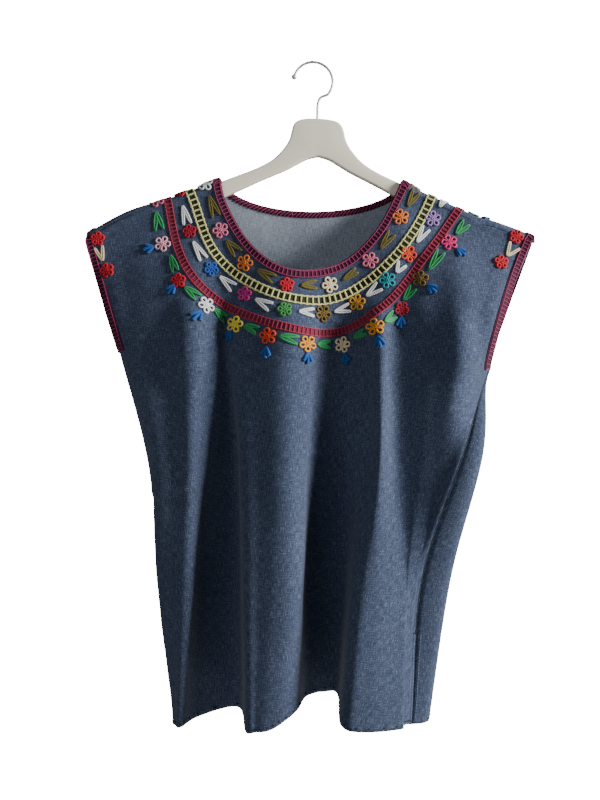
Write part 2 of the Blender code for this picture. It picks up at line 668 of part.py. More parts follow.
    def middle_layer(self):
        """The middle layer as a tree that can be aimed at."""
        bm = bmesh.new()
        verts = {(k, row): bm.verts.new(point) for k, points in enumerate(self.points)
                 for row, point in enumerate(points)}
        for quad in self.faces():
            bm.faces.new([verts[key] for key in quad])
        bmesh.ops.triangulate(bm, faces=bm.faces)
        tree = BVHTree.FromBMesh(bm)
        bm.free()
        return tree


def finish_wall(bm):
    """Triangulate a closed wall and face it outwards."""
    bmesh.ops.triangulate(bm, faces=bm.faces)
    bmesh.ops.recalc_face_normals(bm, faces=bm.faces)
    if bm.calc_volume(signed=True) < 0:
        bmesh.ops.reverse_faces(bm, faces=bm.faces)
    return bm


# --- strips on the cloth ---------------------------------------------------------------------------
Station = namedtuple("Station", "edge edge_normal inner inner_normal")


def folded_strip(stations):
    """A binding folded over a closed edge."""
    bm = bmesh.new()
    near = CLOTH / 2 + GAP * 1.2
    far = near + BINDING_CLOTH
    rings = []
    for k, (edge, edge_normal, inner, inner_normal) in enumerate(stations):
        along = stations[(k + 1) % len(stations)].edge - stations[k - 1].edge
        off = unit(np.cross(edge_normal, along))
        off = off if np.dot(off, edge - inner) > 0 else -off
        places = [inner + inner_normal * near, inner + inner_normal * far,
                  edge + edge_normal * far + off * (far - CLOTH / 2),
                  edge - edge_normal * far + off * (far - CLOTH / 2),
                  inner - inner_normal * far, inner - inner_normal * near,
                  edge - edge_normal * near + off * GAP, edge + edge_normal * near + off * GAP]
        rings.append([bm.verts.new(place) for place in places])
    for here, there in zip(rings, rings[1:] + rings[:1]):
        for k in range(8):
            bm.faces.new((here[k], here[(k + 1) % 8], there[(k + 1) % 8], there[k]))
    return finish_wall(bm)


def edge_station(panel, k, row, inner_row):
    """The station at one point of a panel's edge."""
    return Station(panel.points[k][row], panel.normals[k][row],
                   panel.points[k][inner_row], panel.normals[k][inner_row])


def neck_stations(front, back):
    """Round the neck: along the front from left to right, and home along the back."""
    stations = [edge_station(front, k, 0, 1) for k in range(front.columns + 1)]
    return stations + [edge_station(back, k, 0, 1) for k in range(back.columns - 1, 0, -1)]


def armhole_stations(front, back, right):
    """Round an armhole: up the front edge from the underarm, over the shoulder and down the back edge."""
    step = 1 if right else -1
    stations = []
    for panel in (front, back):
        tip = panel.columns if right else 0
        run = [edge_station(panel, k, panel.yoke_rows - 1, panel.yoke_rows - 2)
               for k in range(panel.corners[right], tip + step, step)]
        stations += run if panel is front else run[::-1]
    return stations


def flat_strip(stations):
    """A band that lies on the cloth along an edge, as wide as the stations' inner points are away."""
    bm = bmesh.new()
    low = CLOTH / 2 + GAP * 2.4
    high = low + BINDING_CLOTH
    rings = []
    for edge, edge_normal, inner, inner_normal in stations:
        rings.append([bm.verts.new(place) for place in
                      (edge + edge_normal * low, edge + edge_normal * high,
                       inner + inner_normal * high, inner + inner_normal * low)])
    for here, there in zip(rings, rings[1:]):
        for k in range(4):
            bm.faces.new((here[k], here[(k + 1) % 4], there[(k + 1) % 4], there[k]))
    bm.faces.new(rings[0])
    bm.faces.new(rings[-1][::-1])
    return finish_wall(bm)


def ladder_stations(panel, row):
    """Along a ladder of stitches that lies on the panel between two of its rows."""
    return [edge_station(panel, k, row, row + 1) for k in range(panel.columns + 1)]


# --- raised flowers, leaves and sprigs -------------------------------------------------------------
Motif = namedtuple("Motif", "outline faces")     # no faces: a fan round a raised middle


def flower(radius):
    """Five round petals as ten points, in mm about the flower's middle."""
    reach = [radius if k % 2 == 0 else 0.66 * radius for k in range(10)]
    return Motif([(r * math.sin(math.pi * k / 5), r * math.cos(math.pi * k / 5))
                  for k, r in enumerate(reach)], None)


def leaves(length, spread):
    """A V of two leaves that opens along +x, in mm about its middle."""
    half = length / 2
    return Motif([(-half, 1.6), (half, spread + 2.2), (half + 0.5, spread - 2.2), (-half + 7, 0),
                  (half + 0.5, 2.2 - spread), (half, -spread - 2.2), (-half, -1.6)],
                 [(0, 1, 2, 3), (3, 4, 5, 6), (0, 3, 6)])


def sprig():
    """Three short stitches that spread outwards, as one fan, in mm about its middle."""
    half = SPRIG_LENGTH / 2
    return Motif([(-half, 1.6), (half - 2, 5), (half, 0), (half - 2, -5), (-half, -1.6)],
                 [(0, 1, 2), (0, 2, 4), (2, 3, 4)])


class Embroidery:
    """Raised motifs that stand in a panel's wall, gathered in one mesh."""

    def __init__(self, panel):
        self.tree = panel.middle_layer()
        self.bm = bmesh.new()

    def add(self, motif, centre, heading, lift):
        """Raise one motif, turned to its heading, over the cloth at its centre."""
        cos, sin = math.cos(heading), math.sin(heading)
        feet, tops = [], []
        for x, z in motif.outline:
            place = (centre[0] + (x * cos - z * sin) * MM, centre[1] + (x * sin + z * cos) * MM)
            found, normal = self.aim(place)
            feet.append(self.bm.verts.new(found - normal * FOOT_DEPTH))
            inset = Vector((centre[0] - place[0], 0, centre[1] - place[1])) * TOP_INSET
            tops.append(self.bm.verts.new(found + normal * (CLOTH / 2 + lift) + inset))
        count = len(feet)
        for k in range(count):
            self.bm.faces.new((feet[k], feet[(k + 1) % count], tops[(k + 1) % count], tops[k]))
        if motif.faces:
            for face in motif.faces:
                self.bm.faces.new([tops[k] for k in face])
                self.bm.faces.new([feet[k] for k in face[::-1]])
            return
        found, normal = self.aim(centre)
        peak = self.bm.verts.new(found + normal * (CLOTH / 2 + lift + FLOWER_CROWN))
        root = self.bm.verts.new(found - normal * FOOT_DEPTH)
        for k in range(count):
            self.bm.faces.new((tops[k], tops[(k + 1) % count], peak))
            self.bm.faces.new((feet[(k + 1) % count], feet[k], root))

    def aim(self, place):
        """The cloth's point and outward direction straight behind a place in the front view."""
        found, normal, _, _ = self.tree.ray_cast(Vector((place[0], -1, place[1])), Vector((0, 1, 0)))
        return found, normal if normal.y < 0 else -normal


def neck_path(panel, away):
    """Front-view points of the line that lies at a distance from the neck edge."""
    line = []
    for k in range(panel.columns + 1):
        gaps = [np.linalg.norm(panel.points[k][row + 1] - panel.points[k][row])
                for row in range(panel.yoke_rows - 1)]
        along = np.concatenate([[0], np.cumsum(gaps)])
        points = np.array(panel.points[k][:panel.yoke_rows])
        line.append([np.interp(away, along, points[:, 0]), np.interp(away, along, points[:, 2])])
    return spaced(line, 400)


def embroider(front):
    """Rows of flowers and V leaves between and below the ladders, and flowers on the sleeves."""
    work = Embroidery(front)
    for band in (INNER_BAND, MIDDLE_BAND, OUTER_BAND):
        path = neck_path(front, band.away * MM)
        half_gap = (band.last - band.first) / (band.flowers - 1) / 2
        for stop in range(-1, 2 * band.flowers):
            at = int(400 * (band.first + half_gap * stop))
            if not 8 < at < 392:
                continue
            centre = path[at]
            ahead = path[at + 3] - path[at - 3]
            heading = math.atan2(ahead[1], ahead[0])
            if stop % 2:
                work.add(leaves(band.leaf_length, band.leaf_spread), centre, heading, LEAF_LIFT)
                continue
            work.add(flower(band.flower_radius), centre, heading, FLOWER_LIFT)
            if band is OUTER_BAND:
                outwards = heading - math.pi / 2
                reach = (band.flower_radius + SPRIG_LENGTH / 2 + 1) * MM
                tip = (centre[0] + reach * math.cos(outwards), centre[1] + reach * math.sin(outwards))
                work.add(sprig(), tip, outwards, SPRIG_LIFT)
    for x, z in SLEEVE_FLOWERS:
        work.add(flower(SLEEVE_FLOWER_RADIUS), (x * MM, z * MM), 0, FLOWER_LIFT)
    return finish_wall(work.bm)


# --- the whole part --------------------------------------------------------------------------------
def build():
    """Make every piece."""
    for old in list(bpy.data.objects):
        bpy.data.objects.remove(old)
    group = collection("huipil_blouse")
    cutters = collection("cutters")

    cloth = material("indigo cloth", "cloth", 0.9)
    plum = material("plum binding", "plum", 0.8)

    offsets = [0, BINDING, PALE_LADDER_AT, PALE_LADDER_AT + LADDER, WINE_LADDER_AT, WINE_LADDER_AT + LADDER]
    front = Panel(FRONT, FRONT_MESH, offsets)
    back = Panel(BACK, BACK_MESH, offsets)

    front_piece = add_mesh("front", front.wall(), cloth, group)
    add_mesh("back", back.wall(), cloth, group)
    motifs = add_mesh("raised_motifs", embroider(front), None, cutters)
    raised = front_piece.modifiers.new("raised motifs", "BOOLEAN")
    raised.operation = "UNION"
    raised.object = motifs
    raised.solver = "MANIFOLD"

    add_mesh("neck_binding", folded_strip(neck_stations(front, back)), plum, group)
    add_mesh("armhole_binding_left", flat_strip(armhole_stations(front, back, False)), plum, group)
    add_mesh("armhole_binding_right", flat_strip(armhole_stations(front, back, True)), plum, group)
    pale = material("pale thread", "pale", 0.8)
    add_mesh("pale_ladder", flat_strip(ladder_stations(front, 2)), pale, group)
    wine = material("wine thread", "wine", 0.8)
    add_mesh("wine_ladder", flat_strip(ladder_stations(front, 4)), wine, group)

    build_hanger(group)
    build_hook(group, cutters, bpy.data.objects["hanger"])
    for cutter in cutters.objects:
        cutter.hide_render = True
        cutter.display_type = "WIRE"


build()
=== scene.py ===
"""Huipil blouse on its wooden hanger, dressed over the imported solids.

Metres; +X to the right as seen from the front, +Y to the back, +Z up. The origin is the underside
of the hook's top. Flat places on the cloth are (x, height): height counts down the cloth itself
from the shoulder ridge.
"""

import logging
import math
from dataclasses import dataclass, field
from enum import Enum
from typing import Any, NamedTuple, Sequence

import bmesh
import bpy
import numpy as np
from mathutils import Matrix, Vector, noise
from mathutils.bvhtree import BVHTree
from mathutils.geometry import barycentric_transform

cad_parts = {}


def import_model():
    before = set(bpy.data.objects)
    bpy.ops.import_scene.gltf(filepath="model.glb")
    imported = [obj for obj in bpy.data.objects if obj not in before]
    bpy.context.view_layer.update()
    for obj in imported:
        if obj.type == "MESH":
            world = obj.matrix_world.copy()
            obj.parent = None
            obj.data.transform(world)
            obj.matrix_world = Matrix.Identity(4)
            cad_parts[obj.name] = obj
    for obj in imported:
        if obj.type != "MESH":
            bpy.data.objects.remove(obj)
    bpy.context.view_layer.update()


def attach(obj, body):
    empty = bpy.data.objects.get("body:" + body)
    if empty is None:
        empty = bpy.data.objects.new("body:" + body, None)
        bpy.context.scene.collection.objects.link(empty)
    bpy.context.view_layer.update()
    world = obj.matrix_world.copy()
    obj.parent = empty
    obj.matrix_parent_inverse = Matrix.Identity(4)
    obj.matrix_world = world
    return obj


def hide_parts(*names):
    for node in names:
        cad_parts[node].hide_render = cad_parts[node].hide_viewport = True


LOG = logging.getLogger("blouse")
MM = 0.001
BODY = "root"

Flat = tuple[float, float]
Colour = tuple[float, float, float]


class Side(Enum):
    """The two big pieces of cloth."""

    FRONT = -1
    BACK = 1


# --- small helpers -------------------------------------------------------------------------------
def unit(vector: np.ndarray) -> np.ndarray:
    """The vector at length 1."""
    return vector / np.linalg.norm(vector)


def eased(value: np.ndarray | float) -> np.ndarray:
    """Ease from 0 to 1."""
    value = np.clip(value, 0.0, 1.0)
    return value * value * (3 - 2 * value)


def bridged(f: np.ndarray, here: np.ndarray, leave: np.ndarray, there: np.ndarray,
            arrive: np.ndarray) -> np.ndarray:
    """A smooth bridge between two points.

    Args:
        f: how far along it, from 0 to 1.
        here: the first point.
        leave: the direction and pace in which it is left.
        there: the second point.
        arrive: the direction and pace in which it is met.

    Returns:
        The points of the bridge.
    """
    return ((2 * f ** 3 - 3 * f ** 2 + 1) * here + (f ** 3 - 2 * f ** 2 + f) * leave
            + (3 * f ** 2 - 2 * f ** 3) * there + (f ** 3 - f ** 2) * arrive)


def lengths_along(line: np.ndarray) -> np.ndarray:
    """Distance from the line's start to each of its points."""
    return np.concatenate([[0], np.cumsum(np.linalg.norm(np.diff(line, axis=0), axis=1))])


def read_off(line: np.ndarray, along: np.ndarray, places: Sequence[float] | float) -> np.ndarray:
    """Points of a line at the given places, where along says the place of each of its own points."""
    return np.stack([np.interp(places, along, line[:, k]) for k in range(line.shape[1])], axis=-1)


def pick(line: np.ndarray, places: Sequence[float]) -> np.ndarray:
    """Points at the given distances along a line."""
    return read_off(line, lengths_along(line), places)


def spaced(line: np.ndarray, parts: int) -> np.ndarray:
    """Parts plus one points, evenly spaced along a line."""
    return pick(line, np.linspace(0, lengths_along(line)[-1], parts + 1))


def smooth_line(points: Sequence[Sequence[float]], steps: int) -> list[np.ndarray]:
    """A curve through the points.

    Args:
        points: the points to pass through.
        steps: how many steps to take between two of them.

    Returns:
        The curve's points, ends included.
    """
    held = [np.array(point, float) for point in points]
    line = []
    for k in range(len(held) - 1):
        here, there = held[k], held[k + 1]
        before = held[k - 1] if k else 2 * here - there
        after = held[k + 2] if k + 2 < len(held) else 2 * there - here
        for step in range(steps):
            f = step / steps
            line.append(0.5 * (2 * here + (there - before) * f
                               + (2 * before - 5 * here + 4 * there - after) * f ** 2
                               + (3 * here - before - 3 * there + after) * f ** 3))
    return line + [held[-1]]


# --- shader building -----------------------------------------------------------------------------
class Socket:
    """A shader output that can stand in sums and products."""

    def __init__(self, graph: "Graph", output: bpy.types.NodeSocket) -> None:
        """Keep the output and the graph it belongs to."""
        self.graph = graph
        self.output = output

    def join(self, operation: str, first: Any, second: Any, clamp: bool = False) -> "Socket":
        """A Math node over two values, links or numbers."""
        return self.graph.node("Math", {"operation": operation, "use_clamp": clamp}, {0: first, 1: second})

    def __add__(self, other: Any) -> "Socket":
        """This plus other."""
        return self.join("ADD", self, other)

    def __sub__(self, other: Any) -> "Socket":
        """This minus other."""
        return self.join("SUBTRACT", self, other)

    def __rsub__(self, other: Any) -> "Socket":
        """Other minus this."""
        return self.join("SUBTRACT", other, self)

    def __mul__(self, other: Any) -> "Socket":
        """This times other."""
        return self.join("MULTIPLY", self, other)

    __radd__ = __add__
    __rmul__ = __mul__

    def clamped(self) -> "Socket":
        """This, held between 0 and 1."""
        return self.join("ADD", self, 0.0, clamp=True)


class Graph:
    """One material's nodes, built up from expressions."""

    def __init__(self, name: str) -> None:
        """Start a material with only its Principled shader.

        Args:
            name: the material's name.
        """
        self.material = bpy.data.materials.new(name)
        self.material.use_nodes = True
        self.tree = self.material.node_tree
        self.shader = self.tree.nodes["Principled BSDF"]

    def connect(self, socket: bpy.types.NodeSocket, value: Any) -> None:
        """Feed a node's socket.

        Args:
            socket: the one to feed.
            value: a Socket to link, or a plain value to set.
        """
        if isinstance(value, Socket):
            self.tree.links.new(value.output, socket)
        else:
            socket.default_value = value

    def node(self, kind: str, settings: dict[str, Any] | None = None,
             inputs: dict[Any, Any] | None = None, output: int | str = 0) -> Socket:
        """Add a node.

        Args:
            kind: the node's type, without its ShaderNode prefix.
            settings: attributes to set first; "stops" are a ramp's (place, colour) pairs.
            inputs: values or links for its sockets, by name or number.
            output: which output to hand back.

        Returns:
            The chosen output.
        """
        made = self.tree.nodes.new("ShaderNode" + kind)
        for key, value in (settings or {}).items():
            if key == "stops":
                stops = made.color_ramp.elements
                while len(stops) < len(value):
                    stops.new(0.5)
                for stop, (place, colour) in zip(stops, value):
                    stop.position = place
                    stop.color = (*colour, 1)
            else:
                setattr(made, key, value)
        for key, value in (inputs or {}).items():
            self.connect(made.inputs[key], value)
        return Socket(self, made.outputs[output])

    def mix(self, factor: Any, first: Colour, second: Colour) -> Socket:
        """Mix two colours."""
        return self.node("Mix", {"data_type": "RGBA"}, {0: factor, 6: (*first, 1), 7: (*second, 1)}, 2)

    def noise(self, place: Socket, scale: tuple[float, float, float], detail: float = 2.0,
              roughness: float = 0.5) -> Socket:
        """Noise from 0 to 1.

        Args:
            place: where it is read.
            scale: the number of its grains per metre along each axis.
            detail: how many finer layers it has.
            roughness: how strong they are.

        Returns:
            The noise.
        """
        stretched = self.node("VectorMath", {"operation": "MULTIPLY"}, {0: place, 1: scale})
        return self.node("TexNoise", None, {"Vector": stretched, "Scale": 1.0, "Detail": detail,
                                            "Roughness": roughness})

    def object_place(self) -> Socket:
        """The point on the piece."""
        return self.node("TexCoord", output="Object")

    def cloth_place(self) -> Socket:
        """The point on the flat cloth, in metres."""
        return self.node("UVMap", {"uv_map": "cloth"})

    def bump(self, height: Socket, distance: float, strength: float = 1.0) -> Socket:
        """A surface direction from a height between 0 and 1."""
        return self.node("Bump", None, {"Height": height, "Distance": distance, "Strength": strength})

    def dress(self, **inputs: Any) -> bpy.types.Material:
        """Set the Principled shader's sockets.

        Args:
            inputs: a value or link for each, with underscores for the spaces in its name.

        Returns:
            The finished material.
        """
        for key, value in inputs.items():
            if isinstance(value, tuple) and len(value) == 3:
                value = (*value, 1)
            self.connect(self.shader.inputs[key.replace("_", " ")], value)
        return self.material


@dataclass(frozen=True)
class Denim:
    """Indigo cotton: dark warp, paler weft, uneven yarns and a faint washed bloom."""

    name: str
    dark: Colour
    middle: Colour
    pale: Colour
    yarn: float = 0.8 * MM
    slub: float = 9 * MM
    bloom: float = 90 * MM

    def make(self) -> bpy.types.Material:
        """Build the material.

        Returns:
            The material.
        """
        graph = Graph(self.name)
        cloth = graph.cloth_place()
        warp = graph.noise(cloth, (1 / self.yarn, 1 / self.slub, 1), 2.0)
        weft = graph.noise(cloth, (1 / self.slub, 1 / self.yarn, 1), 2.0)
        grain = graph.noise(cloth, (0.6 / self.yarn, 0.6 / self.yarn, 1), 3.0, 0.7)
        bloom = graph.noise(cloth, (1 / self.bloom, 0.5 / self.bloom, 1), 4.0, 0.55)
        weave = (warp * 0.35 + weft * 0.25 + grain * 0.40)
        tone = ((weave - 0.5) * 2.6 + (bloom - 0.5) * 0.25 + 0.5).clamped()
        colour = graph.node("ValToRGB", {"stops": [(0.0, self.dark), (0.5, self.middle), (1.0, self.pale)]},
                            {"Fac": tone})
        return graph.dress(Base_Color=colour, Roughness=0.92, Sheen_Weight=0.12, Sheen_Roughness=0.5,
                           Specular_IOR_Level=0.15,
                           Normal=graph.bump(weave, 0.35 * MM, 0.55))


@dataclass(frozen=True)
class Thread:
    """Soft twisted thread of one colour, a little uneven."""

    name: str
    colour: Colour
    shade: float = 0.62
    fibre: float = 0.9 * MM

    def make(self) -> bpy.types.Material:
        """Build the material.

        Returns:
            The material.
        """
        graph = Graph(self.name)
        place = graph.object_place()
        fibres = graph.noise(place, (1 / self.fibre,) * 3, 3.0, 0.6)
        patches = graph.noise(place, (1 / (14 * MM),) * 3, 1.0)
        low = tuple(self.shade * part for part in self.colour)
        tone = ((fibres - 0.5) * 1.6 + (patches - 0.5) * 0.7 + 0.62).clamped()
        return graph.dress(Base_Color=graph.mix(tone, low, self.colour), Roughness=0.75,
                           Sheen_Weight=0.25, Sheen_Roughness=0.4, Specular_IOR_Level=0.25,
                           Normal=graph.bump(fibres, 0.3 * MM, 0.7))


@dataclass(frozen=True)
class Wood:
    """Pale, smooth wood with a faint long grain."""

    name: str
    light: Colour = (0.98, 0.91, 0.76)
    dark: Colour = (0.94, 0.865, 0.71)

    def make(self) -> bpy.types.Material:
        """Build the material.

        Returns:
            The material.
        """
        graph = Graph(self.name)
        place = graph.object_place()
        grain = graph.noise(place, (1 / (60 * MM), 1 / (3 * MM), 1 / (2.2 * MM)), 4.0, 0.6)
        wear = graph.noise(place, (1 / (25 * MM),) * 3, 3.0)
        tone = ((grain - 0.5) * 1.2 + (wear - 0.5) * 0.6 + 0.4).clamped()
        return graph.dress(Base_Color=graph.mix(tone, self.light, self.dark),
                           Roughness=0.38 + wear * 0.15, Specular_IOR_Level=0.4,
                           Normal=graph.bump(grain, 0.06 * MM, 0.5))


@dataclass(frozen=True)
class Steel:
    """Polished wire with fine drawing lines."""

    name: str
    colour: Colour = (0.80, 0.79, 0.77)

    def make(self) -> bpy.types.Material:
        """Build the material.

        Returns:
            The material.
        """
        graph = Graph(self.name)
        place = graph.object_place()
        marks = graph.noise(place, (1 / (0.8 * MM), 1 / (0.8 * MM), 1 / (9 * MM)), 3.0)
        dull = tuple(0.7 * part for part in self.colour)
        return graph.dress(Base_Color=graph.mix(marks, self.colour, dull), Metallic=1.0,
                           Roughness=0.42 + marks * 0.16,
                           Normal=graph.bump(marks, 0.03 * MM, 0.4))


@dataclass(frozen=True)
class Plain:
    """The floor's soft, pale surface."""

    name: str
    colour: Colour

    def make(self) -> bpy.types.Material:
        """Build the material.

        Returns:
            The material.
        """
        graph = Graph(self.name)
        speckle = graph.noise(graph.object_place(), (40.0,) * 3, 3.0)
        return graph.dress(Base_Color=graph.mix(speckle * 0.1, self.colour, (0.8, 0.8, 0.8)), Roughness=0.8)


def dyed(red: int, green: int, blue: int) -> Colour:
    """A dye's colour from the three numbers that name it on a screen, made linear."""
    return tuple(part / 12.92 if part <= 0.04045 else ((part + 0.055) / 1.055) ** 2.4
                 for part in (red / 255, green / 255, blue / 255))


# --- hanger and hook -----------------------------------------------------------------------------
class ArmRow(NamedTuple):
    """The hanger board's top and bottom edge at a distance out from its middle, in mm."""

    out: float
    top: float
    bottom: float


ARM = [ArmRow(0, 0, -47.5), ArmRow(13, -0.6, -51), ArmRow(24, -3, -57), ArmRow(31, -10, -61),
       ArmRow(36, -28, -64), ArmRow(46, -43, -69), ArmRow(58, -54.5, -74.5), ArmRow(76, -65, -83),
       ArmRow(104, -77, -97), ArmRow(140, -92, -114), ArmRow(180, -108, -131), ArmRow(206, -118, -140)]
ARM_TIP = [(213, -121.5), (218, -128), (218.5, -135), (214, -140)]


def made_up(name: str, bm: bmesh.types.BMesh, finishes: Sequence[bpy.types.Material],
            smooth: bool = True) -> bpy.types.Object:
    """Turn a bmesh into an object in the scene.

    Args:
        name: the piece's name.
        bm: its shape, which is used up.
        finishes: its materials, in the order of the faces' numbers.
        smooth: whether its faces are shaded smooth.

    Returns:
        The piece.
    """
    mesh = bpy.data.meshes.new(name)
    bm.to_mesh(mesh)
    bm.free()
    for finish in finishes:
        mesh.materials.append(finish)
    if smooth:
        mesh.shade_smooth()
    piece = bpy.data.objects.new(name, mesh)
    bpy.context.scene.collection.objects.link(piece)
    return piece


class Strand(NamedTuple):
    """A length of thread or wire: its path, its radius at each point, and whether it joins up."""

    path: Sequence[Sequence[float]]
    radii: Sequence[float]
    closed: bool = False


def tube_mesh(name: str, strands: Sequence[Strand], sides: int) -> bpy.types.Mesh:
    """Round tubes along strands, as one mesh, with their open ends closed.

    Args:
        name: the mesh's name.
        strands: the paths, with the tube's radius at each point.
        sides: rounds of the bevel; 1 gives six sides, 2 eight, and so on.

    Returns:
        The mesh.
    """
    curve = bpy.data.curves.new(name, "CURVE")
    curve.dimensions = "3D"
    curve.bevel_depth = MM
    curve.bevel_resolution = sides
    curve.use_fill_caps = True
    for strand in strands:
        spline = curve.splines.new("POLY")
        spline.points.add(len(strand.path) - 1)
        for point, place, radius in zip(spline.points, strand.path, strand.radii):
            point.co = (*place, 1)
            point.radius = radius / MM
        spline.use_cyclic_u = strand.closed
    holder = bpy.data.objects.new(name, curve)
    bpy.context.scene.collection.objects.link(holder)
    mesh = bpy.data.meshes.new_from_object(holder.evaluated_get(bpy.context.evaluated_depsgraph_get()))
    bpy.data.objects.remove(holder)
    bpy.data.curves.remove(curve)
    return mesh


@dataclass
class Hanger:
    """Flat wooden board with rounded edges, and its wire hook with a ball end."""

    head_x: float = 6.2 * MM
    head_top: float = -69.5 * MM
    tilt: float = math.tan(math.radians(2.6))
    board: float = 10 * MM
    rounding: float = 2.6 * MM
    wire: float = 3.5 * MM
    hook_radius: float = 24.4 * MM
    tip_angle: float = 166
    foot_angle: float = -42
    ball: float = 3.4 * MM
    bend_x: float = 9.2 * MM
    bend_rise: float = 9 * MM
    stem_x: float = 5.8 * MM
    stem_top: float = -52 * MM
    stem_depth: float = 12 * MM

    def top_edge(self, x: np.ndarray | float) -> np.ndarray:
        """The board's top edge.

        Args:
            x: places across.

        Returns:
            Its height at each.
        """
        out = np.asarray(x, float) - self.head_x
        outs = [row.out * MM for row in ARM]
        return self.head_top + np.interp(np.abs(out), outs, [row.top * MM for row in ARM]) - self.tilt * out

    def outline(self) -> list[Flat]:
        """The board's outline, for both arms.

        Returns:
            Its points, once round from the middle of the underside.
        """
        top = smooth_line([(row.out * MM, row.top * MM) for row in ARM], 5)
        end = [(x * MM, z * MM) for x, z in ARM_TIP]
        tip = smooth_line([(ARM[-1].out * MM, ARM[-1].top * MM), *end], 3)
        bottom = smooth_line([end[-1], *[(row.out * MM, row.bottom * MM) for row in ARM[::-1]]], 3)
        right = top[:-1] + tip[:-1] + bottom
        left = [np.array((-x, z)) for x, z in right[::-1]]
        return [(self.head_x + x, self.head_top + z - self.tilt * x) for x, z in left[:-1] + right[:-1]]

    def hook_path(self) -> list[tuple[float, float, float]]:
        """The wire's middle line, from the ball over the top and down into the board.

        Returns:
            The line's points, all in the hanger's middle plane.
        """
        centre = -(self.hook_radius - self.wire / 2)
        angles = np.radians(np.linspace(self.tip_angle, self.foot_angle, 49))
        arc = [(self.hook_radius * math.cos(a), centre + self.hook_radius * math.sin(a)) for a in angles]
        neck = smooth_line([arc[-3], arc[-1], (self.bend_x, self.stem_top + self.bend_rise),
                            (self.stem_x, self.stem_top),
                            (self.stem_x - 0.3 * MM, self.stem_top - 10 * MM)], 8)[9:]
        foot = (self.stem_x - 0.8 * MM, self.head_top - self.stem_depth)
        return [(x, 0.0, z) for x, z in [*arc, *neck, foot]]

    def make_board(self) -> bpy.types.Object:
        """Saw the board out and round its edges.

        Returns:
            The board.
        """
        bm = bmesh.new()
        corners = [bm.verts.new((x, -self.board / 2, z)) for x, z in self.outline()]
        face = bm.faces.new(corners)
        pulled = bmesh.ops.extrude_face_region(bm, geom=[face])["geom"]
        back = [part for part in pulled if isinstance(part, bmesh.types.BMVert)]
        bmesh.ops.translate(bm, verts=back, vec=(0, self.board, 0))
        bmesh.ops.recalc_face_normals(bm, faces=bm.faces)
        rims = [edge for edge in bm.edges if abs(edge.verts[0].co.y - edge.verts[1].co.y) < 0.1 * MM]
        bmesh.ops.bevel(bm, geom=rims, offset=self.rounding, offset_type="OFFSET", affect="EDGES",
                        segments=5, profile=0.5, material=-1, clamp_overlap=True)
        bmesh.ops.triangulate(bm, faces=[f for f in bm.faces if len(f.verts) > 4])
        return made_up("hanger_board", bm, [Wood("pale_wood").make()])

    def make_hook(self) -> bpy.types.Object:
        """Bend the wire and put its ball on.

        Returns:
            The hook.
        """
        path = self.hook_path()
        wire = tube_mesh("hook_wire", [Strand(path, [self.wire / 2] * len(path))], 6)
        bm = bmesh.new()
        bm.from_mesh(wire)
        bpy.data.meshes.remove(wire)
        made = bmesh.ops.create_uvsphere(bm, u_segments=32, v_segments=20, radius=self.ball)
        bmesh.ops.translate(bm, verts=made["verts"], vec=path[0])
        return made_up("hanger_hook", bm, [Steel("bright_wire").make()])

    def dress(self) -> list[bpy.types.Object]:
        """Build both pieces and put them in the place of the plain ones.

        Returns:
            The board and the hook.
        """
        made = [self.make_board(), self.make_hook()]
        for piece, plain, slot in zip(made, ("hanger", "hook"), ("wood", "steel")):
            piece.data.set_sharp_from_angle(angle=math.radians(40))
            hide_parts(plain)
            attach(piece, BODY)
        return made


# --- how the cloth hangs -------------------------------------------------------------------------
class Shoulder(NamedTuple):
    """One side's sleeve and armhole, in mm, with the slope of its free ridge."""

    tip_x: float
    tip_z: float
    droop: float
    droop_curve: float
    under_x: float
    under_z: float
    edge_front: float
    edge_back: float
    bulge: float


class Fold(NamedTuple):
    """A line of the hanging folds: its place round the tube, and x and y in mm at four heights."""

    at: float
    chest_x: float
    chest_y: float
    waist_x: float
    waist_y: float
    hip_x: float
    hip_y: float
    hem_x: float
    hem_y: float
    hem_z: float


LEFT = Shoulder(-285, -216, 0.30, 2.6, -243, -361, 12, 13, 0)
RIGHT = Shoulder(273, -222, 0.30, 1.6, 220, -380, 9, 6, 7)
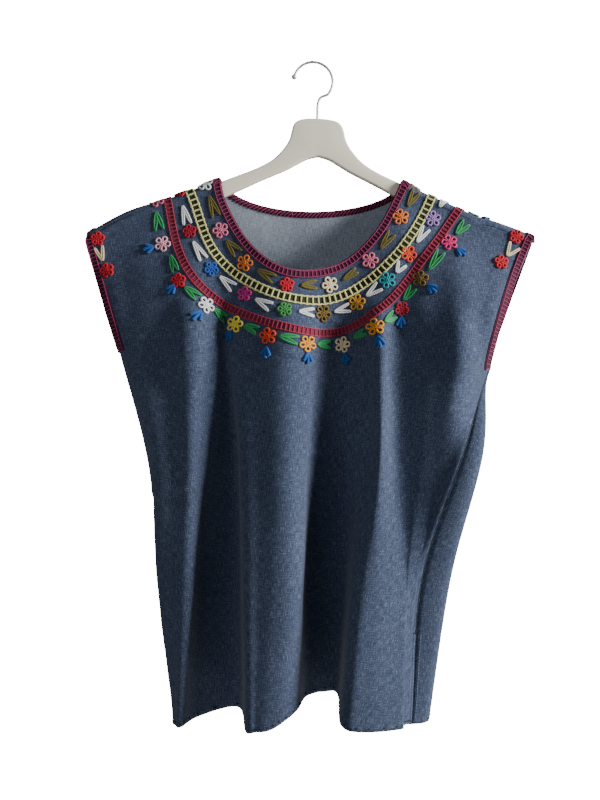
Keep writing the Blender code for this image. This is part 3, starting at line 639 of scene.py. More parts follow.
# The front's neck edge in the flat, in mm, from the left shoulder round to the right one.
NECK_LINE = [(-115.6, -151), (-114.2, -161), (-111, -174), (-104.6, -189.5), (-97.2, -204), (-89.2, -217.8),
             (-80.2, -230.6), (-70, -242), (-58.2, -252.4), (-45.2, -260.6), (-30.8, -266), (-15.5, -267.8),
             (0, -266.8), (14.6, -264), (28.8, -259.2), (42, -252), (54, -242.8), (65, -232), (75, -220.2),
             (83.6, -208), (91, -194.8), (98, -180.6), (104.8, -166.6), (109.4, -156), (112.6, -149)]
FOLDS = [
    Fold(0.000, -243, 4, -210, 9, -187, 24, -153, 38, -820),
    Fold(0.065, -222, -17, -195, -22, -193, -14, -174, 4, -824),
    Fold(0.120, -185, -25, -170, -28, -172, -25, -170, -13, -823),
    Fold(0.180, -147, -37, -146, -36, -150, -28, -162, -22, -822),
    Fold(0.225, -124, -22, -126, -14, -137, 2, -146, 10, -820),
    Fold(0.285, -107, -10, -97, 5, -95, 15, -95, 22, -811),
    Fold(0.345, -94, -28, -86, -38, -83, -48, -80, -56, -818),
    Fold(0.385, -72, -38, -66, -46, -65, -55, -69, -61, -816),
    Fold(0.425, -44, -47, -43, -54, -45, -60, -55, -63, -814),
    Fold(0.520, -3, -31, -10, -37, -14, -43, -20, -43, -795),
    Fold(0.580, 12, -14, 5, -7, -5, 1, -6, 8, -792),
    Fold(0.635, 40, -8, 40, 3, 36, 10, 29, 16, -790),
    Fold(0.700, 62, -22, 67, -20, 49, -50, 33, -66, -806),
    Fold(0.770, 83, -42, 81, -46, 72, -60, 62, -73, -812),
    Fold(0.830, 107, -20, 104, -23, 106, -44, 102, -60, -813),
    Fold(0.900, 150, -36, 136, -34, 115, -41, 107, -52, -811),
    Fold(0.965, 190, -37, 165, -43, 125, -37, 114, -43, -812),
    Fold(1.000, 222, 4, 180, -48, 132, -35, 119, -37, -814),
    Fold(1.030, 221, 11, 203, -46, 163, -34, 137, -30, -814),
    Fold(1.065, 214, 19, 206, 4, 170, -4, 145, -6, -813),
    Fold(1.130, 196, 27, 192, 30, 161, 30, 137, 27, -808),
    Fold(1.220, 158, 33, 151, 44, 128, 54, 109, 63, -806),
    Fold(1.320, 108, 27, 106, 28, 92, 28, 79, 31, -797),
    Fold(1.420, 55, 36, 60, 48, 55, 60, 45, 70, -803),
    Fold(1.520, 0, 29, 12, 28, 14, 29, 9, 35, -796),
    Fold(1.620, -60, 36, -38, 46, -31, 59, -32, 71, -804),
    Fold(1.720, -120, 29, -92, 28, -79, 30, -75, 36, -802),
    Fold(1.830, -185, 30, -151, 42, -132, 54, -117, 64, -811),
    Fold(1.930, -226, 18, -194, 24, -174, 38, -146, 52, -818),
]


class Ring:
    """A closed smooth curve through one height of every fold."""

    def __init__(self, xs: np.ndarray, ys: np.ndarray, zs: np.ndarray) -> None:
        """Work out the slopes.

        Args:
            xs: each fold's place across, in mm.
            ys: its depth.
            zs: its height.
        """
        at = np.array([fold.at for fold in FOLDS])
        values = np.stack([xs, ys, zs], axis=1) * MM
        self.at = np.concatenate([at[-2:] - 2, at, at[:3] + 2])
        self.values = np.concatenate([values[-2:], values, values[:3]])
        near = np.diff(self.at)[:-1, None]
        far = np.diff(self.at)[1:, None]
        rise = np.diff(self.values, axis=0)
        self.slopes = np.zeros_like(self.values)
        self.slopes[1:-1] = (rise[:-1] / near * far + rise[1:] / far * near) / (near + far)

    def __call__(self, place: np.ndarray) -> np.ndarray:
        """Read the curve off.

        Args:
            place: places round the tube.

        Returns:
            The points there.
        """
        k = np.clip(np.searchsorted(self.at, place) - 1, 1, len(self.at) - 3)
        width = (self.at[k + 1] - self.at[k])[..., None]
        f = (place - self.at[k])[..., None] / width
        return bridged(f, self.values[k], width * self.slopes[k], self.values[k + 1],
                       width * self.slopes[k + 1])


def fold_column(name: str) -> np.ndarray:
    """One column of the fold table."""
    return np.array([getattr(fold, name) for fold in FOLDS], float)


CHEST_LEAVE = (1.0, 0.15, 1.0)      # the folds leave the chest almost straight down


@dataclass
class Drape:
    """The hung cloth's middle layer: yoke over the arms, body in folds below the chest."""

    hanger: Hanger
    arch: float = 8.6 * MM
    arch_lift: float = 2.3 * MM
    neck_lift: float = 5.2 * MM
    lift_reach: float = 30 * MM
    seam_forward: float = 14 * MM
    yoke_drop: float = 115 * MM
    neck_x: float = -3.5 * MM
    neck_point: float = 116 * MM
    neck_ends: tuple[float, float] = (112.4 * MM, 116 * MM)
    neck_seams: tuple[float, float] = (110.8 * MM, 110.4 * MM)
    back_depth: float = 43 * MM
    arm_end: float = 212 * MM
    waist: float = -487
    hip: float = -640
    fold_start: float = 82 * MM
    fold_full: float = 32 * MM
    calm_reach: float = 42 * MM
    rings: list[Ring] = field(init=False)
    chest: dict[Side, np.ndarray] = field(init=False)
    calm: dict[Side, np.ndarray] = field(init=False)

    def __post_init__(self) -> None:
        """Lay the four rings of folds."""
        xs = fold_column("chest_x")
        share = (xs - LEFT.under_x) / (RIGHT.under_x - LEFT.under_x)
        chest_z = (1 - share) * LEFT.under_z + share * RIGHT.under_z
        heights = {"chest": chest_z, "waist": np.full(len(FOLDS), self.waist),
                   "hip": np.full(len(FOLDS), self.hip), "hem": fold_column("hem_z")}
        self.rings = [Ring(fold_column(level + "_x"), fold_column(level + "_y"), zs)
                      for level, zs in heights.items()]
        self.chest = {Side.FRONT: self.rings[0](np.linspace(0, 1, 201)),
                      Side.BACK: self.rings[0](np.linspace(2, 1, 201))}
        self.calm = {side: self.calmed(chest) for side, chest in self.chest.items()}

    def calmed(self, chest: np.ndarray) -> np.ndarray:
        """The depth along a chest line with its folds smoothed away.

        Args:
            chest: the line's points.

        Returns:
            The depth of each, unchanged at the line's ends.
        """
        xs, depths = chest[:, 0], chest[:, 1]
        weights = np.exp(-((xs[:, None] - xs[None, :]) / self.calm_reach) ** 2)
        smooth = weights @ depths / weights.sum(axis=1)
        return depths + (smooth - depths) * eased(np.minimum(xs - xs[0], xs[-1] - xs) / self.calm_reach)

    @property
    def quarter(self) -> float:
        """Cloth used up by the quarter turn over the arm."""
        return math.pi * self.arch / 2

    def ridge(self, x: np.ndarray | float) -> np.ndarray:
        """The shoulder ridge: straight over the neck, on the board's arms, then drooping past their ends.

        Args:
            x: places across.

        Returns:
            The ridge's height at each.
        """
        x = np.asarray(x, float)
        left, right = self.neck_x - self.neck_point, self.neck_x + self.neck_point
        share = np.clip((x - left) / (right - left), 0, 1)
        between = ((1 - share) * self.hanger.top_edge(left) + share * self.hanger.top_edge(right)
                   + self.neck_lift)
        sign = np.where(x > 0, 1.0, -1.0)
        end = self.hanger.head_x + sign * self.arm_end
        past = np.maximum(0.0, np.abs(x) - np.abs(end))
        droop = np.where(x > 0, RIGHT.droop, LEFT.droop) * past
        droop = droop + np.where(x > 0, RIGHT.droop_curve, LEFT.droop_curve) * past ** 2
        from_neck = np.abs(x - self.neck_x) - self.neck_point
        lift = self.neck_lift + (self.arch_lift - self.neck_lift) * eased(from_neck / self.lift_reach)
        over = self.hanger.top_edge(np.where(past > 0, end, x)) + lift - droop
        return np.where((x > left) & (x < right), between, over)

    def body_edge(self, side: Shoulder, z: np.ndarray | float) -> np.ndarray:
        """The tube's outermost line in the yoke.

        Args:
            side: the left or the right shoulder.
            z: heights.

        Returns:
            Its place across at each height.
        """
        share = (z - side.under_z * MM) / ((side.tip_z - side.under_z) * MM)
        tip = side.tip_x * MM + math.copysign(side.edge_front * MM, side.tip_x)
        return (1 - share) * side.under_x * MM + share * tip

    def yoke(self, side: Side, x: np.ndarray, down: np.ndarray) -> np.ndarray:
        """Hang the yoke over the board's arms.

        Args:
            side: the front or the back.
            x: places across.
            down: the cloth's length down from the ridge to its own side, below 0 on the other side.

        Returns:
            The points in the air.
        """
        top, way = self.ridge(x), side.value
        bend = np.clip(down, -self.quarter, self.quarter) / self.arch
        past = np.maximum(np.abs(down) - self.quarter, 0)
        z = top - self.arch * (1 - np.cos(bend)) - past
        left, right = self.body_edge(LEFT, z), self.body_edge(RIGHT, z)
        chest_x = LEFT.under_x * MM + (x - left) / (right - left) * (RIGHT.under_x - LEFT.under_x) * MM
        chest = self.chest[side]
        calm = np.interp(chest_x, chest[:, 0], self.calm[side])
        above = z - np.interp(chest_x, chest[:, 0], chest[:, 2])
        near = eased((self.fold_start - above) / (self.fold_start - self.fold_full))
        relief = np.interp(x, chest[:, 0], chest[:, 1] - self.calm[side])
        depth = calm + relief * near
        opened = eased((down - self.quarter) / self.yoke_drop)
        y = way * self.arch * np.sin(bend) + (depth - way * self.arch) * opened
        return np.stack([x, y, z], axis=-1)

    def body(self, place: np.ndarray, level: np.ndarray) -> np.ndarray:
        """Hang the body in its folds.

        Args:
            place: places round the tube.
            level: 0 at the chest, 1 at the waist, 2 at the hip and 3 at the hem.

        Returns:
            The points in the air.
        """
        rows = np.stack([ring(place) for ring in self.rings])
        slopes = np.stack([(rows[1] - rows[0]) * CHEST_LEAVE, (rows[2] - rows[0]) / 2,
                           (rows[3] - rows[1]) / 2, rows[3] - rows[2]])
        k = np.minimum(2, level.astype(int))
        f = (level - k)[..., None]
        here, there = (np.take_along_axis(rows, (k + n)[None, ..., None], 0)[0] for n in (0, 1))
        leave, arrive = (np.take_along_axis(slopes, (k + n)[None, ..., None], 0)[0] for n in (0, 1))
        return bridged(f, here, leave, there, arrive)

    def neck_width(self, down: float, sign: int) -> float:
        """Half the back's neck.

        Args:
            down: a length down the back; below 0, forward to the shoulder seam.
            sign: -1 for the left half and 1 for the right.

        Returns:
            The half's width there.
        """
        end, seam = self.neck_ends[sign > 0], self.neck_seams[sign > 0]
        if down > 0:
            return end * math.sqrt(max(0.0, 1 - (down / self.back_depth) ** 2))
        return end + (seam - end) * -down / self.seam_forward


COLUMN_POINTS = 41          # of a panel's column in the flat
SEAM_LAP = 2.5 * MM         # of the front's edge and the back's at the shoulder seam


@dataclass(frozen=True)
class Cut:
    """How finely a panel is divided; grades are the steps in which its columns turn at the underarm."""

    ridge_columns: int
    arm_columns: int
    body_columns: int
    body_grades: int
    neck_share: float
    yoke_rows: int = 28
    body_rows: int = 104
    ease_columns: int = 30
    edge: float = 10.4 * MM
    edge_rows: int = 4


class Panel:
    """The front or the back: its cut in the flat, and its middle layer as it hangs."""

    def __init__(self, drape: Drape, side: Side, cut: Cut) -> None:
        """Lay out the panel's points in the flat and in the air.

        Args:
            drape: how the cloth hangs.
            side: the front or the back.
            cut: how finely the panel is divided.
        """
        self.drape, self.side, self.cut = drape, side, cut
        self.columns = cut.body_columns + 2 * cut.arm_columns
        self.corners = (cut.arm_columns, self.columns - cut.arm_columns)
        neck = self.neck_edge()
        ends = (0, 1) if side is Side.FRONT else (2, 1)
        self.places = np.linspace(*ends, cut.body_columns + 1)
        chest = drape.rings[0](self.places)[:, [0, 2]] + (0, drape.arch - drape.quarter)
        left, right = self.armhole_edge(LEFT), self.armhole_edge(RIGHT)[::-1]
        outer = np.concatenate([left[:-1], chest, right[1:]])
        self.lines = [self.column_line(neck, outer, k) for k in range(self.columns + 1)]
        self.comb()
        self.ease_to_shoulders(neck, outer)
        self.flat = np.stack([pick(line, self.row_places(line)) for line in self.lines])
        xs, heights = self.flat[..., 0], self.flat[..., 1]
        self.yoke = drape.yoke(side, xs, drape.ridge(xs) - heights)
        places, levels = np.meshgrid(self.places, np.linspace(0, 3, cut.body_rows + 1), indexing="ij")
        self.body = drape.body(places, levels)
        first, last = self.corners
        self.yoke[first:last + 1, -1] = self.body[:, 0]
        down = np.linalg.norm(np.diff(self.body, axis=1), axis=2).cumsum(axis=1)
        chest_x = np.broadcast_to(chest[:, None, 0], (len(chest), cut.body_rows))
        below = np.stack([chest_x, chest[:, 1, None] - down], axis=-1)
        self.body_flat = np.concatenate([chest[:, None, :], below], axis=1)
        round_tube = np.linalg.norm(np.diff(self.body, axis=0, prepend=self.body[:1]), axis=2).cumsum(axis=0)
        middle = cut.body_columns // 2
        way = 1 if chest[-1, 0] > chest[0, 0] else -1
        across = (round_tube - round_tube[middle]) * way + chest[middle, 0]
        self.body_weave = np.stack([across, self.body_flat[..., 1]], axis=-1)

    def first_downs(self) -> np.ndarray:
        """Lengths down from the ridge of the columns that follow the shoulder.

        Returns:
            The lengths, the one at the shoulder seam first.
        """
        forward = self.drape.seam_forward
        if self.side is Side.FRONT:
            return np.array([forward - SEAM_LAP])
        return np.linspace(-forward, forward, self.cut.ridge_columns + 1)

    def edge_points(self, line: np.ndarray, downs: np.ndarray, reach: float) -> np.ndarray:
        """Points along an edge from a shoulder.

        Args:
            line: the edge in the flat.
            downs: its points' lengths down from the ridge.
            reach: how far along it the last point is.

        Returns:
            One point for each column that follows the shoulder, then evenly spaced ones.
        """
        firsts = np.interp(self.first_downs(), downs, lengths_along(line))
        rest = np.linspace(firsts[-1], reach, self.cut.arm_columns + 2 - len(firsts))[1:]
        return pick(line, np.concatenate([firsts, rest]))

    def front_neck_half(self, sign: int) -> tuple[np.ndarray, np.ndarray]:
        """Half of the front's neck edge.

        Args:
            sign: -1 for the left half and 1 for the right.

        Returns:
            The edge from the seam to its lowest point, and its points' lengths down from the ridge.
        """
        whole = np.array(smooth_line(NECK_LINE, 20)) * MM
        low = int(np.argmin(whole[:, 1]))
        line = whole[:low + 1] if sign < 0 else whole[:low - 1:-1]
        downs = self.drape.ridge(line[:, 0]) - line[:, 1]
        seam = self.first_downs()[0]
        k = int(np.argmax(downs > seam))
        start = line[k - 1] + (line[k] - line[k - 1]) * (seam - downs[k - 1]) / (downs[k] - downs[k - 1])
        return np.concatenate([[start], line[k:]]), np.concatenate([[seam], downs[k:]])

    def neck_half(self, sign: int) -> tuple[np.ndarray, np.ndarray]:
        """Half of this panel's neck edge in the flat.

        Args:
            sign: -1 for the left half and 1 for the right.

        Returns:
            The edge from the shoulder to the middle, and its points' lengths down from the ridge.
        """
        if self.side is Side.FRONT:
            return self.front_neck_half(sign)
        drape = self.drape
        turns = np.linspace(math.asin(-drape.seam_forward / drape.back_depth), math.pi / 2, 400)
        downs = drape.back_depth * np.sin(turns)
        line = []
        for down in downs:
            width = drape.neck_width(down, sign)
            share = width / drape.neck_point
            top = (drape.ridge(drape.neck_x + sign * drape.neck_point) * share
                   + drape.ridge(drape.neck_x) * (1 - share))
            line.append((drape.neck_x + sign * width, float(top) - down))
        return np.array(line), downs

    def neck_edge(self) -> np.ndarray:
        """The neck edge in the flat, from left to right.

        Returns:
            The points of the edge.
        """
        halves = [self.neck_half(sign) for sign in (-1, 1)]
        whole = np.concatenate([halves[0][0], halves[1][0][-2::-1]])
        length = lengths_along(whole)[-1]
        share = self.cut.neck_share
        ends = [self.edge_points(half, downs, length * share) for half, downs in halves]
        middle = pick(whole, np.linspace(length * share, length * (1 - share), self.cut.body_columns + 1))
        return np.concatenate([ends[0][:-1], middle, ends[1][-2::-1]])

    def armhole_edge(self, arm: Shoulder) -> np.ndarray:
        """An armhole's edge in the flat.

        Args:
            arm: the left or the right shoulder.

        Returns:
            The edge from the sleeve's tip down to the underarm.
        """
        drape, front = self.drape, self.side is Side.FRONT
        tip_x = arm.tip_x * MM
        top = float(drape.ridge(tip_x))
        foot = arm.under_z * MM + drape.arch - drape.quarter
        inset = (arm.edge_front if front else arm.edge_back) * MM
        sign = math.copysign(1, tip_x)
        downs = np.linspace(self.first_downs()[0], top - foot, 160)
        heights = top - downs
        edge = drape.body_edge(arm, np.minimum(heights + drape.quarter - drape.arch, top - drape.arch))
        share = np.maximum(0.0, downs) / (top - foot)
        inward = inset * (1 - share) + (arm.bulge * MM if front else 0) * np.sin(math.pi * share)
        line = np.stack([edge - sign * inward, heights], axis=1)
        return self.edge_points(line, downs, lengths_along(line)[-1])

    def column_line(self, neck: np.ndarray, outer: np.ndarray, k: int) -> np.ndarray:
        """A column of the cloth: it leaves the neck square and meets the outer edge square.

        Args:
            neck: the neck edge.
            outer: the armholes and the chest line between them.
            k: the column's number.

        Returns:
            Its line in the flat.
        """
        last, grade = self.columns, self.cut.body_columns / self.cut.body_grades
        along = neck[min(k + 1, last)] - neck[max(k - 1, 0)]
        leaving = unit(np.array([along[1], -along[0]]))
        outward = -1 if k < last / 2 else 1
        corner = abs(k - self.corners[0] if k < last / 2 else k - self.corners[1]) / grade
        if k < self.corners[0] or k > self.corners[1]:
            arriving = np.array([outward, -0.25 - 0.75 * max(0, 1 - corner / 4)])
        else:
            arriving = np.array([outward * max(0, 1 - corner / 5), -1.0])
        reach = np.linalg.norm(outer[k] - neck[k])
        start, end = leaving * reach, unit(arriving) * reach * 0.8
        return bridged(np.linspace(0, 1, COLUMN_POINTS)[:, None], neck[k], start, outer[k], end)

    def comb(self, strokes: int = 400) -> None:
        """Comb the columns even between their ends, so that none crosses another.

        Args:
            strokes: how often.
        """
        lines = np.stack(self.lines)
        along = np.linspace(0, 1, lines.shape[1])[:, None]
        hold = np.minimum(1, 20 * along * (1 - along))
        for _ in range(strokes):
            lines[1:-1] += hold * ((lines[2:] + lines[:-2]) / 2 - lines[1:-1]) / 2
        self.lines = list(lines)

    def ease_to_shoulders(self, neck: np.ndarray, outer: np.ndarray) -> None:
        """Make the end columns follow the shoulder ridge, and ease their neighbours to it.

        Args:
            neck: the neck edge.
            outer: the armholes and the chest line between them.
        """
        for first, step in ((0, 1), (self.columns, -1)):
            change = np.zeros((COLUMN_POINTS, 2))
            for number, down in enumerate(self.first_downs()):
                k = first + step * number
                xs = np.linspace(neck[k][0], outer[k][0], COLUMN_POINTS)
                along = np.stack([xs, self.drape.ridge(xs) - down], axis=1)
                pull = np.linspace(neck[k] - along[0], outer[k] - along[-1], COLUMN_POINTS)
                change = along + pull - self.lines[k]
                self.lines[k] = self.lines[k] + change
            for number in range(1, self.cut.ease_columns):
                fade = (1 - number / self.cut.ease_columns) ** 2
                self.lines[k + step * number] = self.lines[k + step * number] + change * fade

    def row_places(self, line: np.ndarray) -> np.ndarray:
        """Places of the rows on a column: close together at both edges, and even between.

        Args:
            line: the column.

        Returns:
            The rows' lengths along it.
        """
        end, edge = lengths_along(line)[-1], self.cut.edge
        near = np.linspace(0, edge, self.cut.edge_rows + 1)
        middle = np.linspace(edge, end - edge, self.cut.yoke_rows + 1)[1:-1]
        return np.concatenate([near, middle, end - near[::-1]])

    def to_plan(self, points: np.ndarray) -> np.ndarray:
        """Lay flat points on the plan of the whole blouse, which is opened out at the shoulder ridge.

        Args:
            points: this panel's flat points.

        Returns:
            Their places on the plan.
        """
        points = np.asarray(points, float)
        if self.side is Side.FRONT:
            return points
        return np.stack([points[..., 0], 2 * self.drape.ridge(points[..., 0]) - points[..., 1]], axis=-1)


# --- cloth ---------------------------------------------------------------------------------------
def new_grid(bm: bmesh.types.BMesh, columns: int,
             rows: int) -> list[tuple[bmesh.types.BMVert, tuple[int, int]]]:
    """Add a grid to a bmesh.

    Args:
        bm: the bmesh.
        columns: how many faces wide it is.
        rows: how many faces long.

    Returns:
        Each new vertex with its column and row.
    """
    made = bmesh.ops.create_grid(bm, x_segments=columns, y_segments=rows, size=1)["verts"]
    return [(vert, (round((vert.co.x + 1) / 2 * columns), round((vert.co.y + 1) / 2 * rows)))
            for vert in made]


@dataclass(frozen=True)
class Crease:
    """A soft ridge (or trough, below 0) between two points of the front view, all in mm."""

    start: Flat
    end: Flat
    height: float
    width: float
    side: Side = Side.FRONT

    def rise(self, places: np.ndarray) -> np.ndarray:
        """How far it lifts the cloth.

        Args:
            places: places in the front view, in mm.

        Returns:
            The lift at each, in mm.
        """
        start, run = np.array(self.start, float), np.subtract(self.end, self.start).astype(float)
        share = np.clip(((places - start) @ run) / (run @ run), 0, 1)
        away = np.linalg.norm(places - start - share[:, None] * run, axis=1)
        return self.height * np.exp(-(away / self.width) ** 2)


# Middle lines of the two ladders on the plan, in mm, from beyond the left ridge to beyond the right one.
PALE_LINE = [(-159, -151), (-156.5, -158.5), (-151.9, -169.6), (-146.3, -184), (-140, -203.4),
             (-132.4, -224.4), (-122.8, -242.3), (-109.6, -258.4), (-93.4, -271.9), (-75.9, -282.9),
             (-57.5, -292.2), (-38.9, -299), (-19.2, -303), (0.9, -304.1), (21, -301.6), (40.4, -295.2),
             (58, -285.4), (74.6, -273.8), (89.6, -260.2), (103.8, -245), (116.6, -228.2), (128.4, -210.1),
             (139, -190.6), (145.6, -176), (149.7, -166.5), (153, -157)]
WINE_LINE = [(-182.8, -163), (-181.2, -174), (-178.9, -185.9), (-176.3, -200), (-172, -220.3),
             (-165.4, -242), (-154.6, -265.4), (-138.6, -286), (-118.2, -302.6), (-95.6, -315.6),
             (-71.8, -325.8), (-47.6, -333.8), (-23, -339.6), (2.3, -342.8), (28.2, -341.3), (52.8, -333.2),
             (74.9, -319.4), (94, -303.6), (110, -285.4), (124.8, -266), (139.9, -246), (156, -225),
             (171.2, -203), (183.7, -184), (189, -173)]
CREASES = [
    Crease((-150, -252), (-150, -372), 7.0, 24.0),
    Crease((176, -250), (182, -372), 5.0, 22.0), Crease((122, -250), (107, -335), -5.0, 14.0),
    Crease((-196, -533), (-158, -529), 1.6, 5.0), Crease((-196, -545), (-160, -541), -1.4, 6.0),
    Crease((170, -535), (196, -531), 1.6, 5.0), Crease((168, -547), (194, -543), -1.4, 6.0),
    Crease((-12, -484), (52, -486), 0.9, 5.0), Crease((-12, -493), (50, -495), -0.9, 6.0),
]


class Unevenness(NamedTuple):
    """The slight waves of soft cloth, in mm: how long and high they are, and each panel's own shift."""

    length: float
    height: float
    start: float
    shift: float


WAVES = (Unevenness(46, 0.7, 0, 3.1), Unevenness(13, 0.22, 5, 1.7))
WAVES_FADE = 14             # mm from the side edges, over which the waves grow


@dataclass(frozen=True)
class Pressing:
    """How the hem's fold and the side seams are pressed in, and where the side vents end."""

    hem_fold: float = 6.5 * MM
    hem_width: float = 2.2 * MM
    hem_depth: float = 0.35 * MM
    hem_lap: float = 5 * MM
    hem_rise: float = 0.3 * MM
    seam_depth: float = 0.9 * MM
    vent_depth: float = 0.3 * MM
    seam_width: float = 1.6 * MM
    vent_top: float = 108 * MM

    def lift(self, above: float, near: float) -> float:
        """How far the pressing lifts the cloth.

        Args:
            above: the place's height over the hem.
            near: its distance from the nearest side edge.

        Returns:
            The lift, below 0 in a groove.
        """
        rise = self.hem_rise if above < self.hem_lap else 0.0
        fold = self.hem_depth * math.exp(-((above - self.hem_fold) / self.hem_width) ** 2)
        depth = self.seam_depth if above > self.vent_top else self.vent_depth
        return rise - fold - depth * math.exp(-(near / self.seam_width) ** 2)


PRESSED = Pressing()


class Cloth:
    """One panel of denim as it hangs, with its soft creases."""

    def __init__(self, panel: Panel, name: str, thickness: float = 0.9 * MM) -> None:
        """Shape the panel's sheet.

        Args:
            panel: the panel.
            name: the plain piece's name.
            thickness: of the cloth.
        """
        self.panel, self.name, self.thickness = panel, name, thickness
        self.bm = bmesh.new()
        self.flat = self.bm.verts.layers.float_vector.new("flat")
        self.weave = self.bm.verts.layers.float_vector.new("weave")
        self.grid(panel.body, panel.body_flat, panel.body_weave)
        self.grid(panel.yoke, panel.flat, panel.flat)
        bmesh.ops.remove_doubles(self.bm, verts=self.bm.verts, dist=0.01 * MM)
        bmesh.ops.recalc_face_normals(self.bm, faces=self.bm.faces)
        if sum(face.normal.y * face.calc_area() for face in self.bm.faces) * panel.side.value < 0:
            bmesh.ops.reverse_faces(self.bm, faces=self.bm.faces)
        self.bm.normal_update()
        self.crease()
        self.seams()

    def grid(self, points: np.ndarray, flats: np.ndarray, weave: np.ndarray) -> None:
        """Add a grid of cloth.

        Args:
            points: places of its points in the air, by column and row.
            flats: the same in the flat.
            weave: the same measured along the cloth, for its yarns.
        """
        for vert, at in new_grid(self.bm, points.shape[0] - 1, points.shape[1] - 1):
            vert.co = points[at]
            vert[self.flat] = (*flats[at], 0)
            vert[self.weave] = (*weave[at], 0)

    def crease(self) -> None:
        """Press in the creases, the hem and a fine unevenness."""
        verts = list(self.bm.verts)
        points = np.array([vert.co for vert in verts]) / MM
        rise = np.zeros(len(verts))
        edges = [self.panel.body_flat[k, 0, 0] / MM for k in (0, -1)]
        for crease in CREASES:
            if crease.side is self.panel.side:
                rise += crease.rise(points[:, [0, 2]])
        for vert, lift in zip(verts, rise):
            flat = Vector(vert[self.flat]) / MM
            waves = sum(wave.height * noise.noise(flat / wave.length + Vector(
                (wave.start, 0, self.panel.side.value * wave.shift))) for wave in WAVES)
            calm = eased(min(abs(flat.x - edge) for edge in edges) / WAVES_FADE)
            vert.co += vert.normal * (lift + waves * calm) * MM
        self.bm.normal_update()

    def seams(self) -> None:
        """Press in the hem's turned-up edge, and roll the side seams and vents a little inwards."""
        rows = self.panel.body_flat
        ends = [rows[k, 0, 0] for k in (0, -1)]
        columns = {round(x / MM, 3): line for x, line in zip(rows[:, 0, 0], rows)}
        for vert in self.bm.verts:
            x, height = vert[self.flat][:2]
            line = columns.get(round(x / MM, 3))
            if line is None or height > line[0, 1]:
                continue
            near = min(abs(x - end) for end in ends)
            vert.co += vert.normal * PRESSED.lift(height - line[-1, 1], near)
        self.bm.normal_update()

    def triangles(self) -> tuple[np.ndarray, list[Vector], list[Vector], list[tuple[int, ...]]]:
        """Plan points, places, outward directions and triangles of the sheet.

        Returns:
            The first three for each vertex, and three vertex numbers for each triangle.
        """
        self.bm.verts.index_update()
        flats = self.panel.to_plan(np.array([vert[self.flat][:2] for vert in self.bm.verts]))
        corners = []
        for face in self.bm.faces:
            first, *others = (vert.index for vert in face.verts)
            corners += [(first, *pair) for pair in zip(others, others[1:])]
        return flats, [v.co.copy() for v in self.bm.verts], [v.normal.copy() for v in self.bm.verts], corners

    def dress(self, rests_on: Sequence[str], size: Flat) -> bpy.types.Object:
        """Make the sheet up as a piece in the place of the plain one.

        Args:
            rests_on: not used.
            size: not used.

        Returns:
            The piece.
        """
        weave = self.bm.loops.layers.uv.new("cloth")
        for face in self.bm.faces:
            for corner in face.loops:
                corner[weave].uv = corner.vert[self.weave][:2]
        area = sum(face.calc_area() for face in self.bm.faces)
        outside = Denim("indigo_denim", dyed(22, 29, 44), dyed(58, 69, 93), dyed(122, 134, 156))
        # The inside's colours are the cloth's paler reverse, made lighter still as painted light: light
        # through the cloth and bounced inside it.
        inside = Denim("indigo_denim_inside_painted_light", dyed(92, 102, 118), dyed(158, 168, 182), dyed(208, 216, 226))
        piece = made_up(self.name + "_cloth", self.bm, [outside.make(), inside.make()])
        wall = piece.modifiers.new("thickness", "SOLIDIFY")
        wall.thickness = self.thickness
        wall.offset = 0
        wall.material_offset = 1
        wall.material_offset_rim = 0
        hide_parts(self.name)
        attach(piece, BODY)
        LOG.info("%s cloth: %.4f square metres", self.name, area)
        return piece


class Plan:
    """Finds a place on the hung cloth from its place on the plan."""

    def __init__(self, cloths: Sequence[Cloth]) -> None:
        """Gather the sheets' triangles on the plan.

        Args:
            cloths: the sheets.
        """
        self.points, self.normals, self.flats, self.corners = [], [], [], []
        for cloth in cloths:
            flats, points, normals, corners = cloth.triangles()
            start = len(self.points)
            self.flats += [Vector((*flat, 0)) for flat in flats]
            self.points += points
            self.normals += normals
            self.corners += [tuple(start + corner for corner in triple) for triple in corners]
        self.tree = BVHTree.FromPolygons(self.flats, self.corners)

    def place(self, flat: Sequence[float], lift: float = 0.0) -> Vector:
        """Find a place of the plan on the hung cloth.

        Args:
            flat: the place on the plan.
            lift: how far off the cloth's middle the point is.

        Returns:
            The point in the air.
        """
        found, _, index, _ = self.tree.find_nearest(Vector((flat[0], flat[1], 0)))
        corners = self.corners[index]
        flats = [self.flats[k] for k in corners]
        point = barycentric_transform(found, *flats, *(self.points[k] for k in corners))
        normal = barycentric_transform(found, *flats, *(self.normals[k] for k in corners))
        return point + normal.normalized() * lift


# --- bindings and ladders ------------------------------------------------------------------------
class Station(NamedTuple):
    """A point of an edge in the flat of its panel, and the direction on to the cloth."""

    panel: Panel
    edge: np.ndarray
    inward: np.ndarray

    def reach(self, plan: Plan, inward: float, lift: float) -> Vector:
        """Find a place near the edge.

        Args:
            plan: the plan of the blouse.
            inward: its length inward of the edge; below 0 it is past the edge.
            lift: how far off the cloth's middle it is.

        Returns:
            The point in the air.
        """
        spot = self.panel.to_plan(self.edge + self.inward * max(inward, 0.0))
        place = plan.place(spot, lift)
        if inward >= 0:
            return place
        off = plan.place(spot) - plan.place(self.panel.to_plan(self.edge + self.inward * 2 * MM))
        return place - off.normalized() * inward


def stations_along(panel: Panel, edge: np.ndarray, spacing: float, turn: int) -> list[Station]:
    """Evenly spaced stations of an edge.

    Args:
        panel: the panel the edge belongs to.
        edge: the edge in the flat.
        spacing: between stations, about.
        turn: 1 if the cloth lies to the left of the line's direction, -1 if to the right.

    Returns:
        The stations in order.
    """
    points = spaced(edge, max(4, round(lengths_along(edge)[-1] / spacing)))
    made = []
    for k, point in enumerate(points):
        along = unit(points[min(k + 1, len(points) - 1)] - points[max(k - 1, 0)])
        made.append(Station(panel, point, np.array([-along[1], along[0]]) * turn))
    return made


